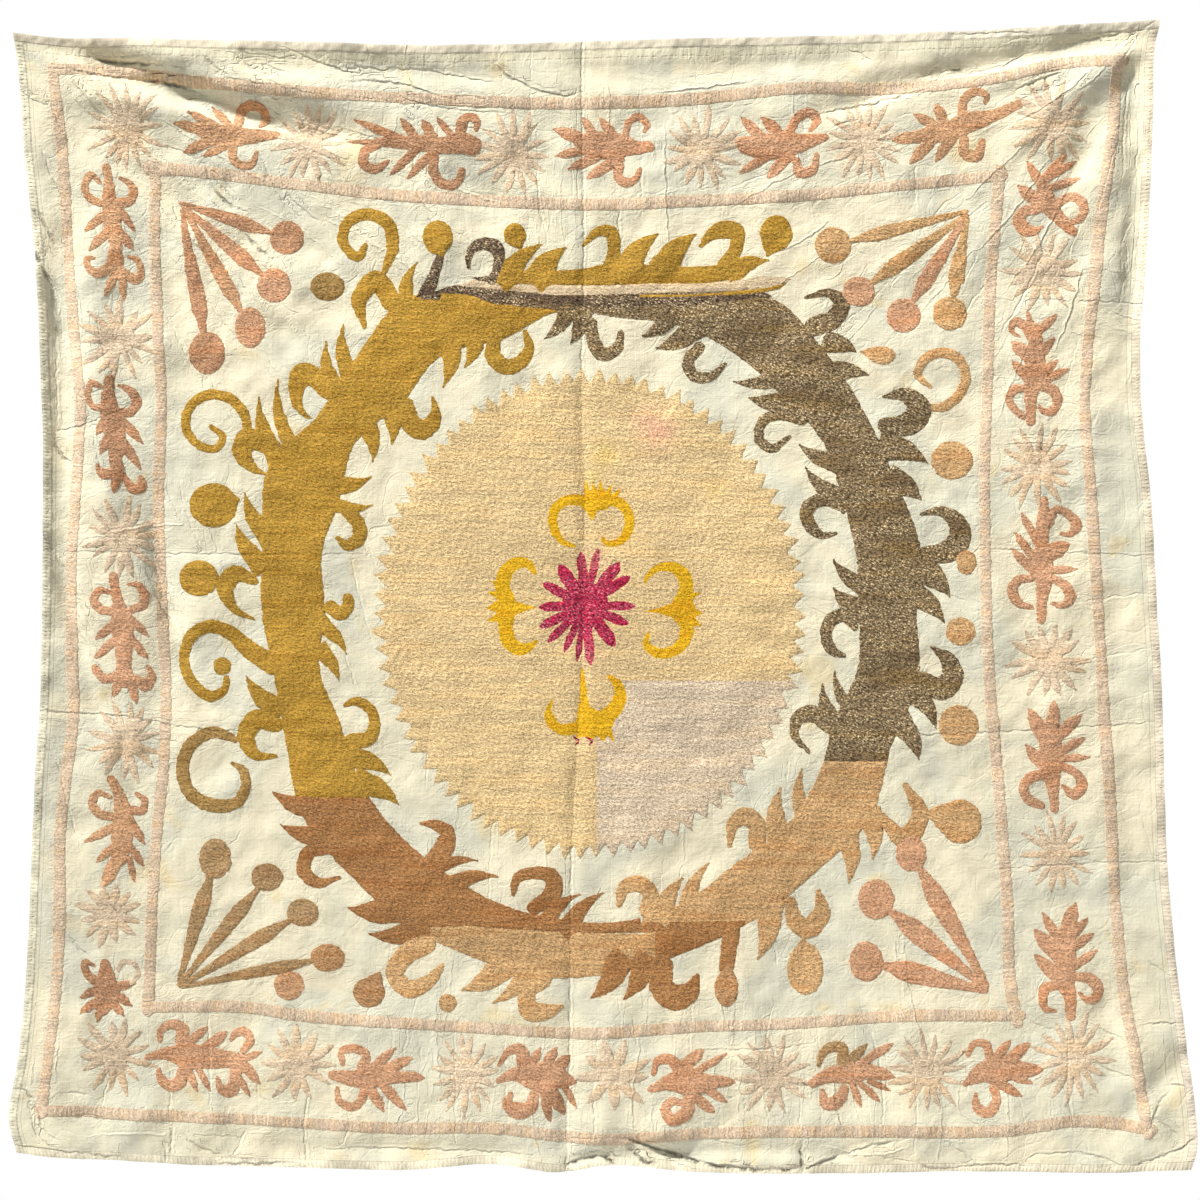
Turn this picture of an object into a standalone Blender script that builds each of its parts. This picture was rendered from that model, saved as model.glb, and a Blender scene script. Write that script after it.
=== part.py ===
"""Square embroidered cotton wall hanging, as it hangs from its top corners.

Two lengths of cotton are joined by a flat seam down the middle and a narrow
overcast edging runs along each of the four sides. Metres; +Z is up, the face
looks along -Y, and the origin is at the middle of the top edge.
"""

import bmesh
import bpy
import numpy as np

COLLECTION_NAME = "suzani_wall_hanging"

PANEL_THICKNESS = 0.0018
EDGING_THICKNESS = 0.0024
EDGING_WIDTH = 0.0145
EDGING_GAP = 0.0011
SEAM_GAP = 0.0006

# The outline: fraction of the way along, x, z.
TOP_EDGE = (
    (0.000, -0.954, 0.013),
    (0.023, -0.911, 0.008),
    (0.110, -0.746, 0.002),
    (0.249, -0.482, -0.003),
    (0.337, -0.317, -0.008),
    (0.467, -0.069, -0.002),
    (0.504, 0.000, 0.000),
    (0.563, 0.112, 0.003),
    (0.685, 0.343, 0.008),
    (0.859, 0.673, 0.020),
    (0.947, 0.838, 0.031),
    (1.000, 0.939, 0.036),
)
BOTTOM_EDGE = (
    (0.000, -0.950, -1.835),
    (0.025, -0.903, -1.841),
    (0.072, -0.812, -1.846),
    (0.157, -0.647, -1.856),
    (0.242, -0.482, -1.860),
    (0.327, -0.317, -1.863),
    (0.412, -0.152, -1.853),
    (0.464, -0.053, -1.865),
    (0.498, 0.013, -1.855),
    (0.583, 0.178, -1.863),
    (0.668, 0.343, -1.866),
    (0.838, 0.673, -1.863),
    (0.940, 0.871, -1.865),
    (1.000, 0.987, -1.860),
)
LEFT_EDGE = (
    (0.000, -0.954, 0.013),
    (0.042, -0.944, -0.064),
    (0.105, -0.936, -0.180),
    (0.194, -0.919, -0.345),
    (0.283, -0.911, -0.510),
    (0.372, -0.907, -0.675),
    (0.506, -0.909, -0.922),
    (0.595, -0.911, -1.087),
    (0.648, -0.917, -1.186),
    (0.702, -0.922, -1.285),
    (0.818, -0.931, -1.500),
    (0.916, -0.947, -1.681),
    (0.974, -0.962, -1.789),
    (1.000, -0.950, -1.835),
)
RIGHT_EDGE = (
    (0.000, 0.939, 0.036),
    (0.027, 0.929, -0.015),
    (0.071, 0.927, -0.097),
    (0.201, 0.917, -0.345),
    (0.270, 0.907, -0.477),
    (0.331, 0.907, -0.592),
    (0.418, 0.924, -0.757),
    (0.470, 0.929, -0.856),
    (0.522, 0.934, -0.955),
    (0.592, 0.941, -1.087),
    (0.679, 0.945, -1.252),
    (0.765, 0.954, -1.417),
    (0.879, 0.978, -1.632),
    (0.949, 0.995, -1.764),
    (0.979, 0.998, -1.822),
    (1.000, 0.987, -1.860),
)

# The middle seam: fraction of the way down, fraction of the way across.
SEAM_LINE = (
    (0.00, 0.496),
    (0.45, 0.488),
    (0.77, 0.474),
    (1.00, 0.469),
)
SEAM_GROOVE_DEPTH = 0.004
SEAM_GROOVE_HALF_WIDTH = 0.016

# Folds, one row each. depth > 0 is a trough and < 0 a ridge, seen from the
# face; bow is the sideways bend of the line, lean makes one flank steeper.
# start x, start z, end x, end z, bow, half width, depth, lean
FOLDS = (
    (-0.861, -0.015, -0.408, -0.160, 0.017, 0.021, 0.0190, 0.3),
    (-0.881, -0.051, -0.647, -0.127, 0.010, 0.023, -0.0100, 0.0),
    (-0.795, -0.002, -0.432, -0.084, 0.008, 0.025, -0.0090, 0.0),
    (-0.408, -0.160, -0.086, -0.295, -0.007, 0.028, 0.0060, 0.0),
    (-0.853, -0.117, -0.564, -0.365, 0.007, 0.020, 0.0070, 0.2),
    (-0.795, -0.221, -0.622, -0.477, 0.005, 0.021, 0.0050, 0.0),
    (-0.589, -0.271, -0.333, -0.427, 0.003, 0.023, 0.0040, 0.0),
    (0.924, 0.008, 0.376, -0.119, 0.020, 0.021, 0.0100, -0.2),
    (0.917, 0.002, 0.673, -0.193, 0.010, 0.023, -0.0070, 0.0),
    (0.914, -0.015, 0.759, -0.312, 0.013, 0.021, 0.0060, 0.0),
    (0.894, -0.048, 0.888, -0.493, -0.007, 0.021, 0.0090, 0.0),
    (-0.597, -0.035, -0.144, -0.054, 0.005, 0.021, 0.0060, 0.2),
    (0.013, -0.051, 0.475, -0.025, 0.007, 0.026, 0.0050, 0.0),
    (-0.871, -0.295, -0.868, -1.087, 0.008, 0.025, 0.0110, 0.0),
    (-0.812, -0.262, -0.805, -0.856, 0.007, 0.028, -0.0040, 0.0),
    (-0.713, -0.708, -0.716, -1.186, -0.007, 0.030, 0.0070, 0.0),
    (0.871, -0.625, 0.884, -1.417, 0.007, 0.030, 0.0040, 0.0),
    (-0.003, -1.843, 0.368, -1.830, -0.005, 0.015, 0.0070, 0.0),
    (0.043, -1.803, 0.191, -1.858, 0.005, 0.015, 0.0070, 0.2),
    (-0.556, -1.830, -0.053, -1.827, 0.003, 0.021, 0.0050, 0.0),
    (-0.934, -1.711, -0.845, -1.830, 0.005, 0.018, -0.0060, 0.0),
    (-0.874, -1.714, -0.782, -1.843, 0.005, 0.017, 0.0060, 0.0),
    (0.990, -1.665, 0.846, -1.830, 0.007, 0.020, 0.0070, 0.0),
    (0.871, -1.599, 0.945, -1.830, 0.005, 0.020, -0.0050, 0.0),
    (-0.622, -1.558, -0.581, -1.830, 0.005, 0.033, 0.0040, 0.0),
    (0.508, -1.582, 0.549, -1.830, 0.005, 0.033, -0.0040, 0.0),
)
FOLD_EASE = 0.25

# Slow waves of the whole cloth: waves across per metre, waves down per
# metre, phase, height.
BILLOWS = (
    (0.42, 0.25, 0.3, 0.0070),
    (1.05, 0.35, 1.9, 0.0030),
    (0.35, 1.15, 4.1, 0.0025),
    (1.90, 0.60, 2.6, 0.0015),
)

# Grid lines, as fractions of a panel's width and of the height: start, end,
# number of cells between them. The cells are smaller where the folds are.
LEFT_COLUMNS = ((0.00, 0.36, 16), (0.36, 1.00, 12))
RIGHT_COLUMNS = ((0.00, 0.60, 11), (0.60, 1.00, 14))
ROWS = (
    (0.00, 0.09, 12),
    (0.09, 0.20, 8),
    (0.20, 0.88, 21),
    (0.88, 1.00, 9),
)
EDGING_COLUMNS = 2

# red, green, blue, roughness
PANEL_LOOK = (0.80, 0.76, 0.62, 0.90)
PEACH_LOOK = (0.72, 0.60, 0.45, 0.85)
LILAC_LOOK = (0.62, 0.53, 0.44, 0.85)


def smooth_through(rows, at):
    """Values of a smooth curve through table rows (position, value, ...)."""
    table = np.array(rows)
    knots = table[:, 0]
    values = table[:, 1:]
    slopes = np.gradient(values, knots, axis=0)
    at = np.clip(np.asarray(at, dtype=float), knots[0], knots[-1])
    low = np.clip(np.searchsorted(knots, at, side="right") - 1, 0, len(knots) - 2)
    span = (knots[low + 1] - knots[low])[..., None]
    u = (at - knots[low])[..., None] / span
    start = values[low] * (1 + 2 * u) * (1 - u) ** 2
    end = values[low + 1] * (3 - 2 * u) * u**2
    bend = slopes[low] * u * (1 - u) ** 2 - slopes[low + 1] * u**2 * (1 - u)
    return start + end + bend * span


def cloth_outline(across, down):
    """x and z of a place in the cloth, blended from its four edges."""
    across, down = np.broadcast_arrays(across, down)
    s = across[..., None]
    t = down[..., None]
    top = smooth_through(TOP_EDGE, across)
    bottom = smooth_through(BOTTOM_EDGE, across)
    left = smooth_through(LEFT_EDGE, down)
    right = smooth_through(RIGHT_EDGE, down)
    corners = (
        (1 - s) * (1 - t) * np.array(TOP_EDGE[0][1:])
        + s * (1 - t) * np.array(TOP_EDGE[-1][1:])
        + (1 - s) * t * np.array(BOTTOM_EDGE[0][1:])
        + s * t * np.array(BOTTOM_EDGE[-1][1:])
    )
    place = (1 - t) * top + t * bottom + (1 - s) * left + s * right - corners
    return place[..., 0], place[..., 1]


def ease(value):
    """Smooth step from 0 to 1."""
    value = np.clip(value, 0.0, 1.0)
    return value * value * (3 - 2 * value)


def fold_depth(x, z):
    """How far the folds push the cloth back (+) or forward (-)."""
    depth = np.zeros_like(x)
    for x0, z0, x1, z1, bow, half_width, height, lean in FOLDS:
        run = np.array((x1 - x0, z1 - z0))
        length = np.hypot(*run)
        run = run / length
        along = ((x - x0) * run[0] + (z - z0) * run[1]) / length
        inside = np.clip(along, 0.0, 1.0)
        aside = (z - z0) * run[0] - (x - x0) * run[1]
        aside = aside + bow * 4 * inside * (1 - inside)
        width = half_width * (1 + lean * np.tanh(aside / half_width))
        ends = ease((along + FOLD_EASE) / FOLD_EASE / 2)
        ends = ends * ease((1 + FOLD_EASE - along) / FOLD_EASE / 2)
        depth += height * ends * np.exp(-((aside / width) ** 2))
    return depth


def cloth_depth(x, z):
    """y of the cloth's middle surface."""
    depth = fold_depth(x, z)
    for per_x, per_z, phase, height in BILLOWS:
        depth += height * np.sin(2 * np.pi * (per_x * x + per_z * z) + phase)
    seam_across = smooth_through(SEAM_LINE, -z / -BOTTOM_EDGE[0][2])[..., 0]
    left = smooth_through(LEFT_EDGE, -z / -BOTTOM_EDGE[0][2])[..., 0]
    right = smooth_through(RIGHT_EDGE, -z / -BOTTOM_EDGE[0][2])[..., 0]
    seam_x = left + (right - left) * seam_across
    groove = np.exp(-(((x - seam_x) / SEAM_GROOVE_HALF_WIDTH) ** 2))
    return depth + SEAM_GROOVE_DEPTH * groove


def grid_lines(spans):
    """Fractions from 0 to 1 for rows of (start, end, cells)."""
    lines = [np.linspace(a, b, cells + 1)[:-1] for a, b, cells in spans]
    return np.append(np.concatenate(lines), 1.0)


def edge_widths(down):
    """Cloth width at each height and the cloth's height, in metres."""
    left = smooth_through(LEFT_EDGE, down)[..., 0]
    right = smooth_through(RIGHT_EDGE, down)[..., 0]
    height = TOP_EDGE[0][2] - BOTTOM_EDGE[0][2]
    return right - left, height


def material(name, look):
    """Plain cloth material."""
    made = bpy.data.materials.new(name)
    made.use_nodes = True
    shader = made.node_tree.nodes["Principled BSDF"]
    shader.inputs["Base Color"].default_value = (*look[:3], 1.0)
    shader.inputs["Roughness"].default_value = look[3]
    shader.inputs["Metallic"].default_value = 0.0
    return made


def cloth_object(name, across, down, split, thickness, look):
    """Sheet over a grid of cloth places, given an even thickness."""
    x, z = cloth_outline(across, down)
    places = np.stack((x, cloth_depth(x, z), z), axis=-1)
    rows, columns = x.shape
    mesh = bpy.data.meshes.new(name)
    grid = bmesh.new()
    bmesh.ops.create_grid(
        grid, x_segments=columns - 1, y_segments=rows - 1, size=1.0
    )
    for corner in grid.verts:
        column = round((corner.co.x + 1) / 2 * (columns - 1))
        row = round((1 - corner.co.y) / 2 * (rows - 1))
        corner.co = places[row, column]
    bmesh.ops.triangulate(grid, faces=grid.faces, quad_method=split)
    grid.to_mesh(mesh)
    grid.free()
    mesh.materials.append(material(name, look))
    made = bpy.data.objects.new(name, mesh)
    shell = made.modifiers.new("thickness", "SOLIDIFY")
    shell.thickness = thickness
    shell.offset = 0.0
    return made


def build():
    """Make the two panels and the four edgings."""
    for old in list(bpy.data.objects):
        bpy.data.objects.remove(old)
    collection = bpy.data.collections.new(COLLECTION_NAME)
    bpy.context.scene.collection.children.link(collection)

    rows = grid_lines(ROWS)
    width, height = edge_widths(rows)
    edging_down = EDGING_WIDTH / height
    panel_down = (EDGING_WIDTH + EDGING_GAP) / height
    down = (panel_down + (1 - 2 * panel_down) * rows)[:, None]
    width, height = edge_widths(down)
    edging_across = EDGING_WIDTH / width
    panel_across = (EDGING_WIDTH + EDGING_GAP) / width
    seam = smooth_through(SEAM_LINE, down)[..., 0]
    half_seam = SEAM_GAP / 2 / width

    left_columns = grid_lines(LEFT_COLUMNS)[None, :]
    right_columns = grid_lines(RIGHT_COLUMNS)[None, :]
    left_end = seam - half_seam
    left_across = panel_across + (left_end - panel_across) * left_columns
    right_start = seam + half_seam
    right_end = 1 - panel_across
    right_across = right_start + (right_end - right_start) * right_columns
    strip = np.linspace(0.0, 1.0, EDGING_COLUMNS + 1)
    side_strip = edging_across * strip[None, :]

    # name, across, down, split, thickness, look
    sheets = [
        ("panel_left", left_across, down, "FIXED", PANEL_THICKNESS, PANEL_LOOK),
        ("panel_right", right_across, down, "ALTERNATE", PANEL_THICKNESS, PANEL_LOOK),
        ("edging_left", side_strip, down, "FIXED", EDGING_THICKNESS, LILAC_LOOK),
        (
            "edging_right",
            1 - side_strip[:, ::-1],
            down,
            "FIXED",
            EDGING_THICKNESS,
            LILAC_LOOK,
        ),
    ]
    for name, row in {"edging_top": 0, "edging_bottom": -1}.items():
        shared = np.concatenate(
            (
                [0.0],
                left_across[row, :-1],
                [seam[row, 0]],
                right_across[row, 1:],
                [1.0],
            )
        )
        depths = edging_down * strip
        if row:
            depths = 1 - depths[::-1]
        sheets.append(
            (
                name,
                shared[None, :],
                depths[:, None],
                "FIXED",
                EDGING_THICKNESS,
                PEACH_LOOK,
            )
        )
    for sheet in sheets:
        collection.objects.link(cloth_object(*sheet))


build()
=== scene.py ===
# %% [markdown]
# # A square suzani wall hanging
# A suzani is a cotton cloth covered with wool and cotton stitching. This one is
# nearly two metres square, hangs from its two top corners, and has a toothed
# disc, a ring of leaves and curls round it, and a border of palmettes and
# rosettes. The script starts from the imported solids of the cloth. Each visible
# piece is then built again in finer form on the same folds.

import math

import bpy
import numpy as np
from mathutils.geometry import delaunay_2d_cdt
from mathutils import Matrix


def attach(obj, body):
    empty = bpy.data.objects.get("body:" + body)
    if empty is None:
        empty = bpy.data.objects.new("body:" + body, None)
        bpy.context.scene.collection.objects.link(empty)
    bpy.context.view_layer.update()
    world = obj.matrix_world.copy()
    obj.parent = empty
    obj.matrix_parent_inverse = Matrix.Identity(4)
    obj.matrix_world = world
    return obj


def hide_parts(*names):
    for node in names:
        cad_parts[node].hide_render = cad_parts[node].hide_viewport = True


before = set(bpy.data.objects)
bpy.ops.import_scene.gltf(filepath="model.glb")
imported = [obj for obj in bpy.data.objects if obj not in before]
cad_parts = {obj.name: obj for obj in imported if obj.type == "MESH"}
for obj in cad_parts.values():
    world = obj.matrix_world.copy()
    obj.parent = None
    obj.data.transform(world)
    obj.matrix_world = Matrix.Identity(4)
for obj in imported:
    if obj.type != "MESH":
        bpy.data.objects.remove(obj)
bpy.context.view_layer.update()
print("solids:", sorted(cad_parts))

# %% [markdown]
# ## Camera
# The cloth was seen straight on. A long lens keeps its outline square, and the
# frame is a little wider than the cloth on every side.

# %% Camera in front of the middle of the cloth
FRAME_MIDDLE_X = 0.0132
FRAME_MIDDLE_Z = -0.922
CAMERA_DISTANCE = 4.2
LENS = 76.4
SENSOR = 36.0

camera_data = bpy.data.cameras.new("camera")
camera_data.lens = LENS
camera_data.sensor_width = SENSOR
camera_data.clip_end = 60.0


def put_in_scene(name, data):
    """A new object in the scene that shows a mesh, a lamp or a camera."""
    made = bpy.data.objects.new(name, data)
    bpy.context.scene.collection.objects.link(made)
    return made


camera = put_in_scene("camera", camera_data)
camera.location = (FRAME_MIDDLE_X, -CAMERA_DISTANCE, FRAME_MIDDLE_Z)
camera.rotation_euler = (math.radians(90), 0, 0)
bpy.context.scene.camera = camera
bpy.context.scene.view_settings.view_transform = "Standard"
print("frame is", round(CAMERA_DISTANCE * SENSOR / LENS, 3), "m wide at the cloth")

# %% [markdown]
# ## The shape in which the cloth hangs
# The cloth is one smooth surface: its outline is blended from four measured
# edges, and its depth is a sum of named folds. Every piece of this model asks
# the same functions where the cloth is, so stitches and cotton stay together.
# A cloth simulation could make folds too, but not these particular ones.

# %% Outline of the cloth: fraction of the way along, x, z
TOP_EDGE = (
    (0,-0.954,0.013), (0.023,-0.911,0.008), (0.11,-0.746,0.002), (0.249,-0.482,-0.003),
    (0.337,-0.317,-0.008), (0.467,-0.069,-0.002), (0.504,0,0), (0.563,0.112,0.003),
    (0.685,0.343,0.008), (0.859,0.673,0.02), (0.947,0.838,0.031), (1,0.939,0.036),
)
BOTTOM_EDGE = (
    (0,-0.95,-1.835), (0.025,-0.903,-1.841), (0.072,-0.812,-1.846), (0.157,-0.647,-1.856),
    (0.242,-0.482,-1.86), (0.327,-0.317,-1.863), (0.412,-0.152,-1.853), (0.464,-0.053,-1.865),
    (0.498,0.013,-1.855), (0.583,0.178,-1.863), (0.668,0.343,-1.866), (0.838,0.673,-1.863),
    (0.94,0.871,-1.865), (1,0.987,-1.86),
)
LEFT_EDGE = (
    (0,-0.954,0.013), (0.042,-0.944,-0.064), (0.105,-0.936,-0.18), (0.194,-0.919,-0.345),
    (0.283,-0.911,-0.51), (0.372,-0.907,-0.675), (0.506,-0.909,-0.922), (0.595,-0.911,-1.087),
    (0.648,-0.917,-1.186), (0.702,-0.922,-1.285), (0.818,-0.931,-1.5), (0.916,-0.947,-1.681),
    (0.974,-0.962,-1.789), (1,-0.95,-1.835),
)
RIGHT_EDGE = (
    (0,0.939,0.036), (0.027,0.929,-0.015), (0.071,0.927,-0.097), (0.201,0.917,-0.345),
    (0.27,0.907,-0.477), (0.331,0.907,-0.592), (0.418,0.924,-0.757), (0.47,0.929,-0.856),
    (0.522,0.934,-0.955), (0.592,0.941,-1.087), (0.679,0.945,-1.252), (0.765,0.954,-1.417),
    (0.879,0.978,-1.632), (0.949,0.995,-1.764), (0.979,0.998,-1.822), (1,0.987,-1.86),
)
SEAM_LINE = ((0.00, 0.496), (0.45, 0.488), (0.77, 0.474), (1.00, 0.469))
CLOTH_HEIGHT = TOP_EDGE[0][2] - BOTTOM_EDGE[0][2]
EDGING_WIDTH = 0.0145


def smooth_through(rows, at):
    """Values of a smooth curve through table rows (position, value, ...)."""
    table = np.array(rows, dtype=float)
    knots = table[:, 0]
    values = table[:, 1:]
    slopes = np.gradient(values, knots, axis=0)
    at = np.clip(np.asarray(at, dtype=float), knots[0], knots[-1])
    low = np.clip(np.searchsorted(knots, at, side="right") - 1, 0, len(knots) - 2)
    span = (knots[low + 1] - knots[low])[..., None]
    u = (at - knots[low])[..., None] / span
    start = values[low] * (1 + 2 * u) * (1 - u) ** 2
    end = values[low + 1] * (3 - 2 * u) * u**2
    bend = slopes[low] * u * (1 - u) ** 2 - slopes[low + 1] * u**2 * (1 - u)
    return start + end + bend * span


def side_edges(down):
    """x of the left and of the right edge at shares of the way down."""
    return smooth_through(LEFT_EDGE, down)[..., 0], smooth_through(RIGHT_EDGE, down)[..., 0]


def cloth_outline(across, down):
    """x and z of a place in the cloth, blended from its four edges."""
    across, down = np.broadcast_arrays(across, down)
    s = across[..., None]
    t = down[..., None]
    top = smooth_through(TOP_EDGE, across)
    bottom = smooth_through(BOTTOM_EDGE, across)
    left = smooth_through(LEFT_EDGE, down)
    right = smooth_through(RIGHT_EDGE, down)
    corners = (
        (1 - s) * (1 - t) * np.array(TOP_EDGE[0][1:])
        + s * (1 - t) * np.array(TOP_EDGE[-1][1:])
        + (1 - s) * t * np.array(BOTTOM_EDGE[0][1:])
        + s * t * np.array(BOTTOM_EDGE[-1][1:])
    )
    place = (1 - t) * top + t * bottom + (1 - s) * left + s * right - corners
    return place[..., 0], place[..., 1]


corner_x, corner_z = cloth_outline(np.array([0.0, 1.0]), np.array([0.0, 1.0]))
print("top left corner", corner_x[0], corner_z[0], "bottom right", corner_x[1], corner_z[1])

# %% [markdown]
# ## Folds and creases
# A fold is a line with a soft trough or ridge across it. The large folds are
# the ones in the solids. The small creases come on top: marks from being stored
# folded, pulls beside the stitching, and rumples at the lower corners. They are
# listed in pattern units, 1.65 mm each, counted from the top left of the frame.

# %% Large folds: start x, z, end x, z, bow, half width, depth, lean (metres)
FOLDS = (
    (-0.861,-0.015,-0.408,-0.16,0.017,0.021,0.019,0.3),
    (-0.881,-0.051,-0.647,-0.127,0.01,0.023,-0.01,0),
    (-0.795,-0.002,-0.432,-0.084,0.008,0.025,-0.009,0),
    (-0.408,-0.16,-0.086,-0.295,-0.007,0.028,0.006,0),
    (-0.853,-0.117,-0.564,-0.365,0.007,0.02,0.007,0.2),
    (-0.795,-0.221,-0.622,-0.477,0.005,0.021,0.005,0),
    (-0.589,-0.271,-0.333,-0.427,0.003,0.023,0.004,0),
    (0.924,0.008,0.376,-0.119,0.02,0.021,0.01,-0.2),
    (0.917,0.002,0.673,-0.193,0.01,0.023,-0.007,0),
    (0.914,-0.015,0.759,-0.312,0.013,0.021,0.006,0),
    (0.894,-0.048,0.888,-0.493,-0.007,0.021,0.009,0),
    (-0.597,-0.035,-0.144,-0.054,0.005,0.021,0.006,0.2),
    (0.013,-0.051,0.475,-0.025,0.007,0.026,0.005,0),
    (-0.871,-0.295,-0.868,-1.087,0.008,0.025,0.011,0),
    (-0.812,-0.262,-0.805,-0.856,0.007,0.028,-0.004,0),
    (-0.713,-0.708,-0.716,-1.186,-0.007,0.03,0.007,0),
    (0.871,-0.625,0.884,-1.417,0.007,0.03,0.004,0),
    (-0.003,-1.843,0.368,-1.83,-0.005,0.015,0.007,0),
    (0.043,-1.803,0.191,-1.858,0.005,0.015,0.007,0.2),
    (-0.556,-1.83,-0.053,-1.827,0.003,0.021,0.005,0),
    (-0.934,-1.711,-0.845,-1.83,0.005,0.018,-0.006,0),
    (-0.874,-1.714,-0.782,-1.843,0.005,0.017,0.006,0),
    (0.99,-1.665,0.846,-1.83,0.007,0.02,0.007,0), (0.871,-1.599,0.945,-1.83,0.005,0.02,-0.005,0),
    (-0.622,-1.558,-0.581,-1.83,0.005,0.033,0.004,0),
    (0.508,-1.582,0.549,-1.83,0.005,0.033,-0.004,0),
)
# waves across per metre, waves down per metre, phase, height
BILLOWS = (
    (0.42, 0.25, 0.3, 0.0070),
    (1.05, 0.35, 1.9, 0.0030),
    (0.35, 1.15, 4.1, 0.0025),
    (1.90, 0.60, 2.6, 0.0015),
)
FOLD_EASE = 0.25
SEAM_GROOVE_DEPTH = 0.0028
SEAM_GROOVE_HALF_WIDTH = 0.010

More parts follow.
